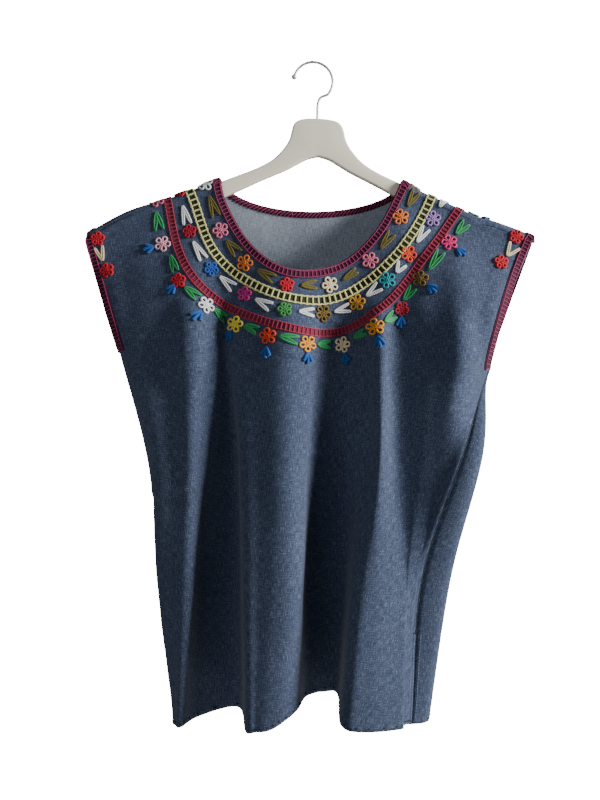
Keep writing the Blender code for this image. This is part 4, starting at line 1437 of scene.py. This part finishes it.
@dataclass(frozen=True)
class Tape:
    """A woven tape folded over an edge, by its cross-section: (inward, lift) pairs in mm."""

    name: str
    profile: Sequence[Flat]
    finish: Thread = Thread("plum_tape", dyed(68, 16, 42), 0.7, 1.2 * MM)
    slot: str = "plum_binding"

    def build(self, plan: Plan, stations: Sequence[Station], closed: bool) -> bmesh.types.BMesh:
        """Lay the tape along an edge.

        Args:
            plan: the plan of the blouse.
            stations: the edge's stations.
            closed: whether the tape joins up.

        Returns:
            The tape's shape.
        """
        bm = bmesh.new()
        rows = list(stations) + ([stations[0]] if closed else [])
        lines = [[station.reach(plan, inward * MM, lift * MM) for inward, lift in self.profile]
                 for station in rows]
        along = lengths_along(np.array([line[0] for line in lines]))
        across = lengths_along(np.array(self.profile)) * MM
        grid = new_grid(bm, len(rows) - 1, len(self.profile) - 1)
        weave = bm.loops.layers.uv.new("cloth")
        places = {}
        for vert, (k, row) in grid:
            vert.co = lines[k][row]
            places[vert] = (along[k], across[row])
        for face in bm.faces:
            for corner in face.loops:
                corner[weave].uv = places[corner.vert]
        bmesh.ops.remove_doubles(bm, verts=bm.verts, dist=0.01 * MM)
        bmesh.ops.recalc_face_normals(bm, faces=bm.faces)
        half_way = stations[len(stations) // 2]
        low, on_tape, high = (half_way.reach(plan, 5 * MM, lift * MM) for lift in (0, 1.4, 3))
        nearest = min(bm.faces, key=lambda face: (face.calc_center_median() - on_tape).length)
        if nearest.normal.dot(high - low) < 0:
            bmesh.ops.reverse_faces(bm, faces=bm.faces)
        return bm


# --- needlework ----------------------------------------------------------------------------------
@dataclass
class Threads:
    """Strands of thread on the cloth, made up as one piece with a finish for each colour."""

    plan: Plan
    strands: dict[str, list[Strand]] = field(default_factory=dict)

    def lay(self, colour: str, flats: Sequence[Sequence[float]], radius: float | Sequence[float],
            lift: float | Sequence[float], closed: bool = False) -> None:
        """Lay a strand on the cloth.

        Args:
            colour: the thread's colour.
            flats: places on the plan, in metres.
            radius: of the strand, in metres, or one for each point.
            lift: of the strand's middle off the cloth's middle, or one for each point.
            closed: whether the strand joins up.
        """
        radii = [radius] * len(flats) if isinstance(radius, float) else radius
        lifts = [lift] * len(flats) if isinstance(lift, float) else lift
        path = [self.plan.place(flat, up) for flat, up in zip(flats, lifts)]
        self.strands.setdefault(colour, []).append(Strand(path, radii, closed))

    def make(self, name: str, slot: str) -> bpy.types.Object:
        """Twist up every strand.

        Args:
            name: the piece's name.
            slot: not used.

        Returns:
            The piece.
        """
        bm = bmesh.new()
        finishes = []
        for number, (colour, strands) in enumerate(sorted(self.strands.items())):
            mesh = tube_mesh(name + "_" + colour, strands, 1)
            before = len(bm.faces)
            bm.from_mesh(mesh)
            bpy.data.meshes.remove(mesh)
            bm.faces.ensure_lookup_table()
            for face in bm.faces[before:]:
                face.material_index = number
            finishes.append(Thread(colour + "_thread", COLOURS[colour]).make())
        piece = made_up(name, bm, finishes)
        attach(piece, BODY)
        return piece


COLOURS = {
    "white": dyed(240, 240, 240), "cream": dyed(238, 220, 182), "olive": dyed(112, 102, 44),
    "green": dyed(46, 150, 86), "pink": dyed(226, 120, 150),
    "light_pink": dyed(240, 178, 190), "hot_pink": dyed(228, 50, 120), "orange": dyed(236, 130, 52),
    "red": dyed(196, 24, 44), "crimson": dyed(156, 16, 46), "yellow": dyed(252, 232, 84),
    "blue": dyed(38, 86, 170), "magenta": dyed(190, 44, 130), "leaf": dyed(60, 140, 70),
    "bronze": dyed(116, 92, 36), "ochre": dyed(196, 140, 44), "turquoise": dyed(44, 160, 170),
    "vermilion": dyed(228, 76, 44), "lilac": dyed(166, 130, 196), "amber": dyed(238, 160, 44),
    "jade": dyed(70, 160, 120), "sprig": dyed(26, 88, 164), "pale": dyed(222, 222, 150),
    "wine": dyed(165, 45, 75), "plum": dyed(150, 48, 96), "indigo": dyed(12, 16, 28),
    "blue_grey": dyed(122, 142, 168),
}


class Motif(NamedTuple):
    """A flower's thread and its middle on the plan, in mm."""

    colour: str
    x: float
    height: float


# The inner and the middle row, the outer row that the sprigs hang from, and the sleeves' flowers.
FLOWERS = [Motif(*row) for row in (
    ("white", -134, -156), ("pink", -114, -216.7), ("orange", -83.3, -258.4), ("red", -32.4, -285.5),
    ("cream", 20.2, -284.1), ("pink", 69.8, -254.2), ("orange", 108, -199.6), ("yellow", 131, -151),
    ("red", -165, -164.5), ("crimson", -152.8, -218), ("blue", -124.9, -265), ("magenta", -83.6, -295.9),
    ("leaf", -34.9, -316.2), ("bronze", 11.6, -318.8), ("ochre", 54, -305.4), ("turquoise", 90.8, -278.9),
    ("vermilion", 117.2, -245.9), ("lilac", 148.2, -201.3),
    ("pink", -194.2, -176), ("light_pink", -185.6, -233.3), ("red", -164.6, -280.5),
    ("white", -132.1, -310.3), ("yellow", -95.1, -332.9), ("vermilion", -54.7, -348.2),
    ("amber", -7.8, -357.1), ("cream", 36.6, -356.6), ("amber", 75.7, -336.7), ("crimson", 108.1, -314.1),
    ("bronze", 130.7, -277), ("hot_pink", 167.6, -232.3), ("jade", 203, -186),
    ("red", -267.2, -225.4), ("red", -254.8, -264.9), ("red", 251.9, -223.1), ("red", 231.5, -255.8),
)]
OUTER_ROW = FLOWERS[18:31]
DENSE = ("red", "crimson", "blue", "magenta", "leaf")       # colours worked in thicker thread


class LeafKind(Enum):
    """The three ways a leaf is worked: half its loop's width and its thread's radius, in mm."""

    OPEN = (1.2, 1.1)
    POINTED = (1.8, 1.15)
    FINE = (1.55, 1.05)


class Leaves(NamedTuple):
    """A V of two leaves: its point on the plan, heading in degrees, length and width, in mm."""

    colour: str
    x: float
    height: float
    heading: float
    length: float
    width: float


LEAVES = [Leaves(*row) for row in (
    ("olive", -129.1, -172.2, -70, 29.3, 11.8), ("olive", -107.2, -229.3, -48, 25.4, 13.8),
    ("olive", -68.7, -266.8, -30, 25.7, 12.1), ("olive", -16.6, -286.1, 5, 21.7, 11.7),
    ("olive", 35.3, -278.5, 34, 23.3, 8.5), ("olive", 82.5, -240.2, 54, 26.7, 11.8),
    ("olive", 116.6, -186.4, 60, 25, 11.8),
    ("white", -161.8, -184.4, -75, 25.6, 11.4), ("white", -147.9, -231.2, -59, 27.7, 11.7),
    ("white", -114.7, -273.8, -40, 24.0, 12.6), ("white", -70.5, -302.6, -30, 23.1, 12.7),
    ("white", -18.5, -318.4, -1, 19.9, 11.2), ("white", 25.4, -316.3, 15, 21.7, 11.5),
    ("white", 65.2, -298.1, 38, 22.0, 13.0), ("white", 101.7, -270.1, 60, 15.9, 13.0),
    ("white", 127.3, -232.3, 57, 24.2, 11.6), ("white", 156.8, -186.6, 62, 24, 12.5),
    ("green", -194.9, -191.9, -78, 25.1, 12.2), ("green", -175.2, -247.9, -71, 23.5, 9.2),
    ("green", -157.9, -287.6, -42, 23.7, 11.9), ("green", -123.3, -313.3, -37, 21.0, 12.1),
    ("green", -83.9, -334.5, -23, 19.9, 11.1), ("green", -42.5, -347.8, -14, 25.6, 11.6),
    ("green", 2.8, -357.0, 1, 20.3, 11.1), ("green", 51.1, -349.2, 30, 17.1, 9.2),
    ("green", 85.6, -330.7, 35, 20.0, 12.5), ("green", 109.6, -303.7, 51, 22.2, 10.9),
    ("green", 141.0, -267.6, 56, 30.0, 12.2), ("green", 175.9, -221.8, 49, 23.4, 12.0),
    ("cream", -260.4, -253.5, 108, 20.0, 12.3), ("cream", 239.2, -248.2, 53, 20.0, 16.8),
)]
LEAF_KINDS = {"olive": LeafKind.FINE, "white": LeafKind.OPEN, "green": LeafKind.POINTED,
              "cream": LeafKind.OPEN}
# Middles of the sprigs on the plan, in mm.
SPRIGS = [(-201.3, -238.3), (-172.1, -289.7), (-142.3, -323.8), (-101.6, -344.6), (-56.9, -367.2),
          (-7.8, -373.2), (40.6, -373.5), (79.7, -354.3), (108.1, -329.4), (144.1, -289.2),
          (179.9, -244.7), (214, -191)]


@dataclass
class Needlework:
    """The flowers, leaves and sprigs worked in thick thread on the yoke and sleeves."""

    threads: Threads
    radius: float = 10.7
    petal: Flat = (3.3, 2.75)
    thread: float = 1.3
    dense_radius: float = 9.6
    dense_petal: Flat = (2.5, 2.35)
    dense_thread: float = 1.6
    petal_lifts: Flat = (1.35, 1.57)
    first_turn: float = 0.3
    next_turn: float = 1.7
    ring: float = 1.5
    ring_thread: float = 1.15
    ring_lift: float = 2.0
    leaf_tip: float = 1.5
    leaf_filling: float = 1.15
    filling_lift: float = 0.95
    finger_spread: float = 0.46
    finger: float = 11.5
    middle_finger: float = 14.0
    finger_foot: float = 6.0
    finger_lift: float = 1.6

    @staticmethod
    def turned(start: Flat, heading: float, outs: Sequence[float], sides: Sequence[float]) -> list[Flat]:
        """Places on the plan, in metres, laid out from a point along a heading.

        Args:
            start: the point, in mm.
            heading: the direction, in radians.
            outs: each place's distance along it, in mm.
            sides: its distance to the left, in mm.

        Returns:
            The places.
        """
        cos, sin = math.cos(heading), math.sin(heading)
        return [((start[0] + out * cos - side * sin) * MM, (start[1] + out * sin + side * cos) * MM)
                for out, side in zip(outs, sides)]

    def flower(self, motif: Motif, turn: float) -> None:
        """Five looped petals about a small ring.

        Args:
            motif: the flower's colour and place.
            turn: the first petal's heading, in radians.
        """
        colour, *middle = motif
        dense = colour in DENSE
        thread = self.dense_thread if dense else self.thread
        long, wide = self.dense_petal if dense else self.petal
        reach = (self.dense_radius if dense else self.radius) - long - thread
        angles = np.linspace(0, math.tau, 14, endpoint=False)
        outs = reach + long * np.cos(angles)
        sides = wide * np.sin(angles) * (1 + 0.3 * np.cos(angles))
        for petal in range(5):
            path = self.turned(middle, turn + math.tau * petal / 5, outs, sides)
            self.threads.lay(colour, path, thread * MM, self.petal_lifts[petal % 2] * MM, closed=True)
        angles = np.linspace(0, math.tau, 8, endpoint=False)
        path = self.turned(middle, 0, self.ring * np.cos(angles), self.ring * np.sin(angles))
        self.threads.lay(colour, path, self.ring_thread * MM, self.ring_lift * MM, closed=True)

    def leaf(self, colour: str, start: Flat, heading: float, length: float) -> None:
        """One leaf: a long narrow loop of thread, with a filling strand unless it is open.

        Args:
            colour: of the thread.
            start: the leaf's foot on the plan, in mm.
            heading: its direction, in radians.
            length: its length, in mm.
        """
        kind = LEAF_KINDS[colour]
        wide, thread = kind.value
        shares = np.linspace(0, 1, 11)
        if kind is LeafKind.OPEN:
            widths = wide * np.sin(np.pi * np.clip(0.06 + shares * 0.88, 0, 1)) ** 0.35
        else:
            widths = wide * np.sin(np.pi * (0.03 + shares * 0.94)) ** 0.8
        outs = thread + shares * (length - 2 * thread)
        path = self.turned(start, heading, [*outs, *outs[::-1]], [*widths, *-widths[::-1]])
        self.threads.lay(colour, path, thread * MM, (0.45 + 0.85 * thread) * MM, closed=True)
        if kind is not LeafKind.OPEN:
            middle = self.turned(start, heading, outs, np.zeros_like(outs))
            radii = self.leaf_filling * MM * (0.3 + 0.7 * np.sin(np.pi * shares))
            self.threads.lay(colour, middle, list(radii), self.filling_lift * MM)

    def sprig(self, x: float, height: float, heading: float) -> None:
        """Three short fingers that spread outwards.

        Args:
            x: the sprig's middle on the plan, across, in mm.
            height: its height there, in mm.
            heading: the middle finger's direction, in radians.
        """
        foot = (x - self.finger_foot * math.cos(heading), height - self.finger_foot * math.sin(heading))
        shares = np.linspace(0, 1, 7)
        radii = list((1.1 + 1.3 * np.sin(np.pi * shares * 0.66)) * MM)
        for spread, long in ((-self.finger_spread, self.finger), (0.0, self.middle_finger),
                             (self.finger_spread, self.finger)):
            path = self.turned(foot, heading + spread, long * shares, np.zeros_like(shares))
            self.threads.lay("sprig", path, radii, self.finger_lift * MM)

    def build(self) -> bpy.types.Object:
        """Work every motif.

        Returns:
            All the embroidery in one piece.
        """
        for number, motif in enumerate(FLOWERS):
            self.flower(motif, self.first_turn + self.next_turn * number)
        for pair in LEAVES:
            half = math.asin((pair.width - self.leaf_tip) / 2 / pair.length)
            for way in (-1, 1):
                heading = math.radians(pair.heading) + way * half
                self.leaf(pair.colour, (pair.x, pair.height), heading, pair.length)
        for x, height in SPRIGS:
            near = min(OUTER_ROW, key=lambda flower: math.hypot(flower.x - x, flower.height - height))
            self.sprig(x, height, math.atan2(height - near.height, x - near.x))
        return self.threads.make("needlework", "pale_thread")


@dataclass(frozen=True)
class Stitch:
    """A running stitch: its thread's colour and radius, its length and the step to the next."""

    colour: str
    radius: float
    length: float
    step: float


@dataclass
class Sewing:
    """The plain sewing: hems, side seams and their vents, with a bartack at each vent's top."""

    threads: Threads
    hem_stitch: Stitch = Stitch("indigo", 0.9 * MM, 1.8 * MM, 9.5 * MM)
    vent_stitch: Stitch = Stitch("blue_grey", 0.4 * MM, 2.6 * MM, 3.8 * MM)
    hem: float = 4.2 * MM
    inset: float = 4 * MM
    seam_inset: float = 1 * MM
    seam_start: float = 6 * MM
    bartack: float = 7.2 * MM

    def run(self, line: np.ndarray, stitch: Stitch) -> None:
        """Sew a running stitch.

        Args:
            line: its line on the plan.
            stitch: which stitch.
        """
        radii = [stitch.radius * 0.6, stitch.radius, stitch.radius * 0.6]
        for start in np.arange(stitch.step / 2, lengths_along(line)[-1] - stitch.length, stitch.step):
            path = pick(line, start + stitch.length * np.array([0, 0.5, 1]))
            self.threads.lay(stitch.colour, path, radii, [0.5 * MM, 0.75 * MM, 0.5 * MM])

    def join(self, panel: Panel, edge: np.ndarray, inward: np.ndarray, whole: float) -> None:
        """Close a side seam and bar its end.

        Args:
            panel: the front, which the seam's thread lies on.
            edge: its side edge in the flat.
            inward: the direction on to the cloth at each point of the edge.
            whole: the length of the line that the vent is measured on.
        """
        seam = edge + inward * self.seam_inset
        seam = pick(seam, np.linspace(self.seam_start, lengths_along(seam)[-1] - PRESSED.vent_top, 60))
        self.threads.lay("indigo", panel.to_plan(seam), 0.5 * MM, 0.3 * MM)
        foot = pick(edge, [whole - PRESSED.vent_top])
        bar = foot + inward[len(edge) // 2] * np.linspace(0, self.bartack, 4)[:, None]
        self.threads.lay("indigo", panel.to_plan(bar), 0.8 * MM, 0.7 * MM)

    def build(self, panels: Sequence[Panel]) -> bpy.types.Object:
        """Sew every panel's hem, vents and side seams.

        Args:
            panels: the panels.

        Returns:
            The sewing, as one piece.
        """
        for panel in panels:
            rows = panel.body_flat
            hem = np.stack([pick(column[::-1], [self.hem])[0] for column in rows])
            self.run(panel.to_plan(hem), self.hem_stitch)
            for edge, inner in ((rows[0], rows[2]), (rows[-1], rows[-3])):
                inward = (inner - edge) / np.linalg.norm(inner - edge, axis=1)[:, None]
                line = edge + inward * self.inset
                whole = lengths_along(line)[-1]
                vent = pick(line, np.linspace(whole - PRESSED.vent_top, whole - self.hem, 40))
                self.run(panel.to_plan(vent), self.vent_stitch)
                if panel.side is Side.FRONT:
                    self.join(panel, edge, inward, whole)
        return self.threads.make("plain_sewing", "indigo_cloth")


@dataclass(frozen=True)
class Ladder:
    """A ladder of thread round the yoke: two rails and close rungs over a dark band, partly painted shade.
    """

    name: str
    colour: str
    middle: Sequence[Flat]
    half_width: float
    ground_and_shade: Colour
    rail_radius: float
    rung_radius: float
    pitch: float
    bulge: float
    lift: float = 1.15 * MM

    def rails(self) -> list[np.ndarray]:
        """The two rails' lines on the plan, to each side of the ladder's middle.

        Returns:
            The points of each rail.
        """
        line = spaced(np.array(smooth_line(self.middle, 6)) * MM, 260)
        along = np.gradient(line, axis=0)
        across = np.stack([-along[:, 1], along[:, 0]], axis=1) / np.linalg.norm(along, axis=1)[:, None]
        return [line + across * self.half_width * way for way in (1, -1)]

    def stitches(self, plan: Plan) -> bpy.types.Object:
        """Work the rails and the rungs.

        Args:
            plan: the plan of the blouse.

        Returns:
            The piece.
        """
        threads = Threads(plan)
        near, far = self.rails()
        middle = lengths_along((near + far) / 2)
        count = round(middle[-1] / self.pitch)
        places = np.linspace(0, middle[-1], count * 5 + 1)
        swell = self.bulge * np.cos(math.tau * places / middle[-1] * count)
        for line, other in ((near, far), (far, near)):
            own, facing = (read_off(rail, middle, places) for rail in (line, other))
            away = (own - facing) / np.linalg.norm(own - facing, axis=1)[:, None]
            threads.lay(self.colour, own + away * swell[:, None], self.rail_radius, self.lift)
        for place in np.linspace(0, middle[-1], count + 1):
            start, end = (read_off(rail, middle, place) for rail in (near, far))
            path = [start + (end - start) * share for share in (0.02, 0.26, 0.5, 0.74, 0.98)]
            threads.lay(self.colour, path, self.rung_radius, self.lift + 0.25 * MM)
        return threads.make(self.name + "_stitches", self.colour + "_thread")

    def backing(self, plan: Plan) -> bpy.types.Object:
        """Lay the dark band, partly painted shade, lowest at its two edges, in the place of the plain band.

        Args:
            plan: the plan of the blouse.

        Returns:
            The piece.
        """
        bm = bmesh.new()
        near, far = self.rails()
        rows = 6
        for vert, (k, row) in new_grid(bm, len(near) - 1, rows):
            lift = 0.55 if row in (0, rows) else 0.8
            vert.co = plan.place(near[k] + (far[k] - near[k]) * row / rows, lift * MM)
        bmesh.ops.recalc_face_normals(bm, faces=bm.faces)
        if sum(face.normal.y for face in bm.faces) > 0:
            bmesh.ops.reverse_faces(bm, faces=bm.faces)
        # this colour is partly painted shade: the dark between the raised rails and rungs
        piece = made_up(self.name + "_ground", bm, [Thread(self.name + "_dark", self.ground_and_shade).make()])
        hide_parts(self.name)
        self.colour + "_thread"
        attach(piece, BODY)
        return piece


# Band colours under the threads: a darker band, made darker still as painted shade between the raised
# threads.
LADDERS = (Ladder("pale_ladder", "pale", PALE_LINE, 4.8 * MM, dyed(48, 52, 34), 1.05 * MM, 1.1 * MM,
                  7 * MM, 0.35 * MM),
           Ladder("wine_ladder", "wine", WINE_LINE, 4.3 * MM, dyed(116, 36, 60), 0.8 * MM, 0.8 * MM,
                  5 * MM, 0.15 * MM))


# --- studio --------------------------------------------------------------------------------------
class Lamp(NamedTuple):
    """A square soft light: where it stands, where it aims, and its size, power and colour."""

    name: str
    place: tuple[float, float, float]
    aim: tuple[float, float, float]
    size: float
    power: float
    colour: Colour

    def light(self) -> None:
        """Put the light up."""
        data = bpy.data.lights.new(self.name, "AREA")
        data.size = self.size
        data.energy = self.power
        data.color = self.colour
        lamp = bpy.data.objects.new(self.name, data)
        lamp.location = self.place
        lamp.rotation_euler = (Vector(self.aim) - Vector(self.place)).to_track_quat("-Z", "Y").to_euler()
        bpy.context.scene.collection.objects.link(lamp)


LAMPS = (Lamp("key", (2.66, -0.86, 0.35), (0.0, 0.0, -0.45), 0.9, 190, (1.0, 0.985, 0.965)),
         Lamp("fill", (-1.5, -2.1, 0.45), (0.0, 0.0, -0.45), 1.6, 16, (0.95, 0.97, 1.0)),
         Lamp("rim", (1.2, 2.2, 0.9), (0.0, 0.0, -0.4), 1.2, 34, (1.0, 1.0, 1.0)))


@dataclass
class Studio:
    """Pale floor, soft lights and the camera."""

    floor_height: float = -1.95
    floor_radius: float = 1.4
    wall_light: float = 20.0
    soft_light: float = 0.07
    camera_place: tuple[float, float, float] = (-0.01625, -1.25, -0.4206)
    lens: float = 45
    film: float = 36

    def build(self) -> None:
        """Set up the floor, lights, world and camera."""
        self.floor()
        for lamp in LAMPS:
            lamp.light()
        self.world()
        self.camera()

    def floor(self) -> None:
        """Lay the round floor."""
        bm = bmesh.new()
        bmesh.ops.create_circle(bm, cap_ends=True, segments=96, radius=self.floor_radius)
        bmesh.ops.translate(bm, verts=bm.verts, vec=(0, 0, self.floor_height))
        floor = made_up("floor", bm, [Plain("pale_floor", (0.86, 0.86, 0.85)).make()], smooth=False)

    def world(self) -> None:
        """Paint a bright backdrop that adds only a little light."""
        world = bpy.data.worlds.new("studio")
        bpy.context.scene.world = world
        world.use_nodes = True
        tree = world.node_tree
        path = tree.nodes.new("ShaderNodeLightPath")
        seen = tree.nodes.new("ShaderNodeBackground")
        seen.inputs["Color"].default_value = (0.96, 0.96, 0.965, 1)
        seen.inputs["Strength"].default_value = self.wall_light
        lighting = tree.nodes["Background"]
        lighting.inputs["Color"].default_value = (0.9, 0.93, 1.0, 1)
        lighting.inputs["Strength"].default_value = self.soft_light
        mixed = tree.nodes.new("ShaderNodeMixShader")
        tree.links.new(path.outputs["Is Camera Ray"], mixed.inputs[0])
        tree.links.new(lighting.outputs[0], mixed.inputs[1])
        tree.links.new(seen.outputs[0], mixed.inputs[2])
        tree.links.new(mixed.outputs[0], tree.nodes["World Output"].inputs["Surface"])

    def camera(self) -> None:
        """Stand the camera square in front."""
        camera = bpy.data.objects.new("camera", bpy.data.cameras.new("camera"))
        camera.data.lens = self.lens
        camera.data.sensor_width = self.film
        camera.location = self.camera_place
        camera.rotation_euler = (math.radians(90), 0, 0)
        bpy.context.scene.collection.objects.link(camera)
        bpy.context.scene.camera = camera


# --- the whole blouse ----------------------------------------------------------------------------
# Sections of the two tapes, from the outer face over the edge to the inner one, in mm: (inward, lift).
NECK_PROFILE = [(9.4, 0.5), (9.5, 1.0), (8.8, 1.35), (7.2, 1.45), (5.0, 1.5), (2.5, 1.45), (0.6, 1.4),
                (-0.5, 1.1), (-1.0, 0.3), (-1.0, -0.3), (-0.5, -1.0), (0.8, -1.35), (3.4, -1.4),
                (6.0, -1.35), (6.6, -1.0), (6.6, -0.5)]
ARM_PROFILE = [(10.3, 0.5), (10.4, 1.0), (9.6, 1.35), (7.5, 1.45), (5.0, 1.5), (2.5, 1.45), (0.6, 1.3),
               (-0.2, 0.9), (-0.5, 0.2), (-0.2, -0.6), (0.8, -0.8)]
RAIL_LIFT = 1.75 * MM       # of a tape's threads off the cloth's middle
RUNG_LIFT = 1.85 * MM
WHIP_STITCH = [(-1.1, -0.5), (0.9, -1.5), (5.0, -1.75), (6.3, -1.3)]     # inside the neck, as the sections


@dataclass
class Blouse:
    """The denim blouse with its bindings, ladders and needlework."""

    hanger: Hanger
    spacing: float = 2.4 * MM
    rails: tuple[float, float] = (0.9 * MM, 8.4 * MM)
    rail_thread: float = 0.7 * MM
    rung_thread: float = 0.65 * MM
    whip_thread: float = 0.8 * MM
    front_size: Flat = (0.61, 0.69)
    back_size: Flat = (0.56, 0.72)

    def build(self) -> list[bpy.types.Object]:
        """Cut, hang and trim the blouse.

        Returns:
            Every piece of it.
        """
        drape = Drape(self.hanger)
        front_cut = Cut(ridge_columns=0, arm_columns=40, body_columns=200, body_grades=40, neck_share=0.20)
        back_cut = Cut(ridge_columns=24, arm_columns=54, body_columns=130, body_grades=26, neck_share=0.26)
        front, back = Panel(drape, Side.FRONT, front_cut), Panel(drape, Side.BACK, back_cut)
        cloths = [Cloth(front, "front"), Cloth(back, "back")]
        plan = Plan(cloths)
        pieces = [*self.neck(plan, front, back), *self.armhole(plan, front, back, "left"),
                  *self.armhole(plan, front, back, "right")]
        for ladder in LADDERS:
            pieces += [ladder.stitches(plan), ladder.backing(plan)]
        pieces += [Needlework(Threads(plan)).build(), Sewing(Threads(plan)).build([front, back])]
        for cloth, size in zip(cloths, (self.front_size, self.back_size)):
            pieces.append(cloth.dress(["hanger_board"], size))
        return pieces

    def neck(self, plan: Plan, front: Panel, back: Panel) -> list[bpy.types.Object]:
        """Bind the neck.

        Args:
            plan: the plan of the blouse.
            front: the front panel.
            back: the back panel.

        Returns:
            The tape and its stitches.
        """
        ahead = stations_along(front, front.flat[:, 0], self.spacing, -1)
        behind = stations_along(back, back.flat[::-1, 0], self.spacing, 1)
        return self.bind(plan, Tape("neck_tape", NECK_PROFILE), ahead + behind[1:-1], True, "neck_binding")

    def armhole(self, plan: Plan, front: Panel, back: Panel, name: str) -> list[bpy.types.Object]:
        """Bind an armhole: up the front edge, over the shoulder and down the back edge.

        Args:
            plan: the plan of the blouse.
            front: the front panel.
            back: the back panel.
            name: left or right.

        Returns:
            The tape and its stitches.
        """
        left = name == "left"
        turn = 1 if left else -1
        edges = [panel.flat[panel.corners[0]::-1, -1] if left else panel.flat[panel.corners[1]:, -1]
                 for panel in (front, back)]
        up = stations_along(front, edges[0], self.spacing, -turn)
        over = stations_along(back, edges[1][::-1], self.spacing, turn)
        return self.bind(plan, Tape("armhole_tape_" + name, ARM_PROFILE), up + over[1:], False,
                         "armhole_binding_" + name)

    def bind(self, plan: Plan, tape: Tape, stations: Sequence[Station], closed: bool,
             plain: str) -> list[bpy.types.Object]:
        """Make one binding and its ladder of thread.

        Args:
            plan: the plan of the blouse.
            tape: the tape's name and section.
            stations: stations along the edge.
            closed: whether the binding joins up.
            plain: the plain piece it replaces.

        Returns:
            The tape and its stitches.
        """
        piece = made_up(tape.name, tape.build(plan, stations, closed), [tape.finish.make()])
        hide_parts(plain)
        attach(piece, BODY)
        strands = []
        for inward in self.rails:
            path = [station.reach(plan, inward, RAIL_LIFT) for station in stations]
            strands.append(Strand(path, [self.rail_thread] * len(path), closed))
        for station in stations[::2]:
            path = [station.reach(plan, inward, RUNG_LIFT) for inward in np.linspace(*self.rails, 5)]
            strands.append(Strand(path, [self.rung_thread] * len(path)))
        if closed:
            for near, far in zip(stations[::2], [*stations[2::2], stations[0]]):
                path = [station.reach(plan, inward * MM, lift * MM)
                        for station, (inward, lift) in zip((near, near, far, far), WHIP_STITCH)]
                strands.append(Strand(path, [self.whip_thread] * len(path)))
        return [piece, Threads(plan, {"plum": strands}).make(tape.name + "_stitches", tape.slot)]


def main() -> None:
    """Build everything in order."""
    logging.basicConfig(level=logging.INFO, format="%(name)s: %(message)s")
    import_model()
    hanger = Hanger()
    pieces = [*hanger.dress(), *Blouse(hanger).build()]
    Studio().build()
    for piece in pieces:
        LOG.info("%s: %d faces", piece.name, len(piece.data.polygons))
    bpy.context.view_layer.update()


if __name__ == "__main__":
    main()
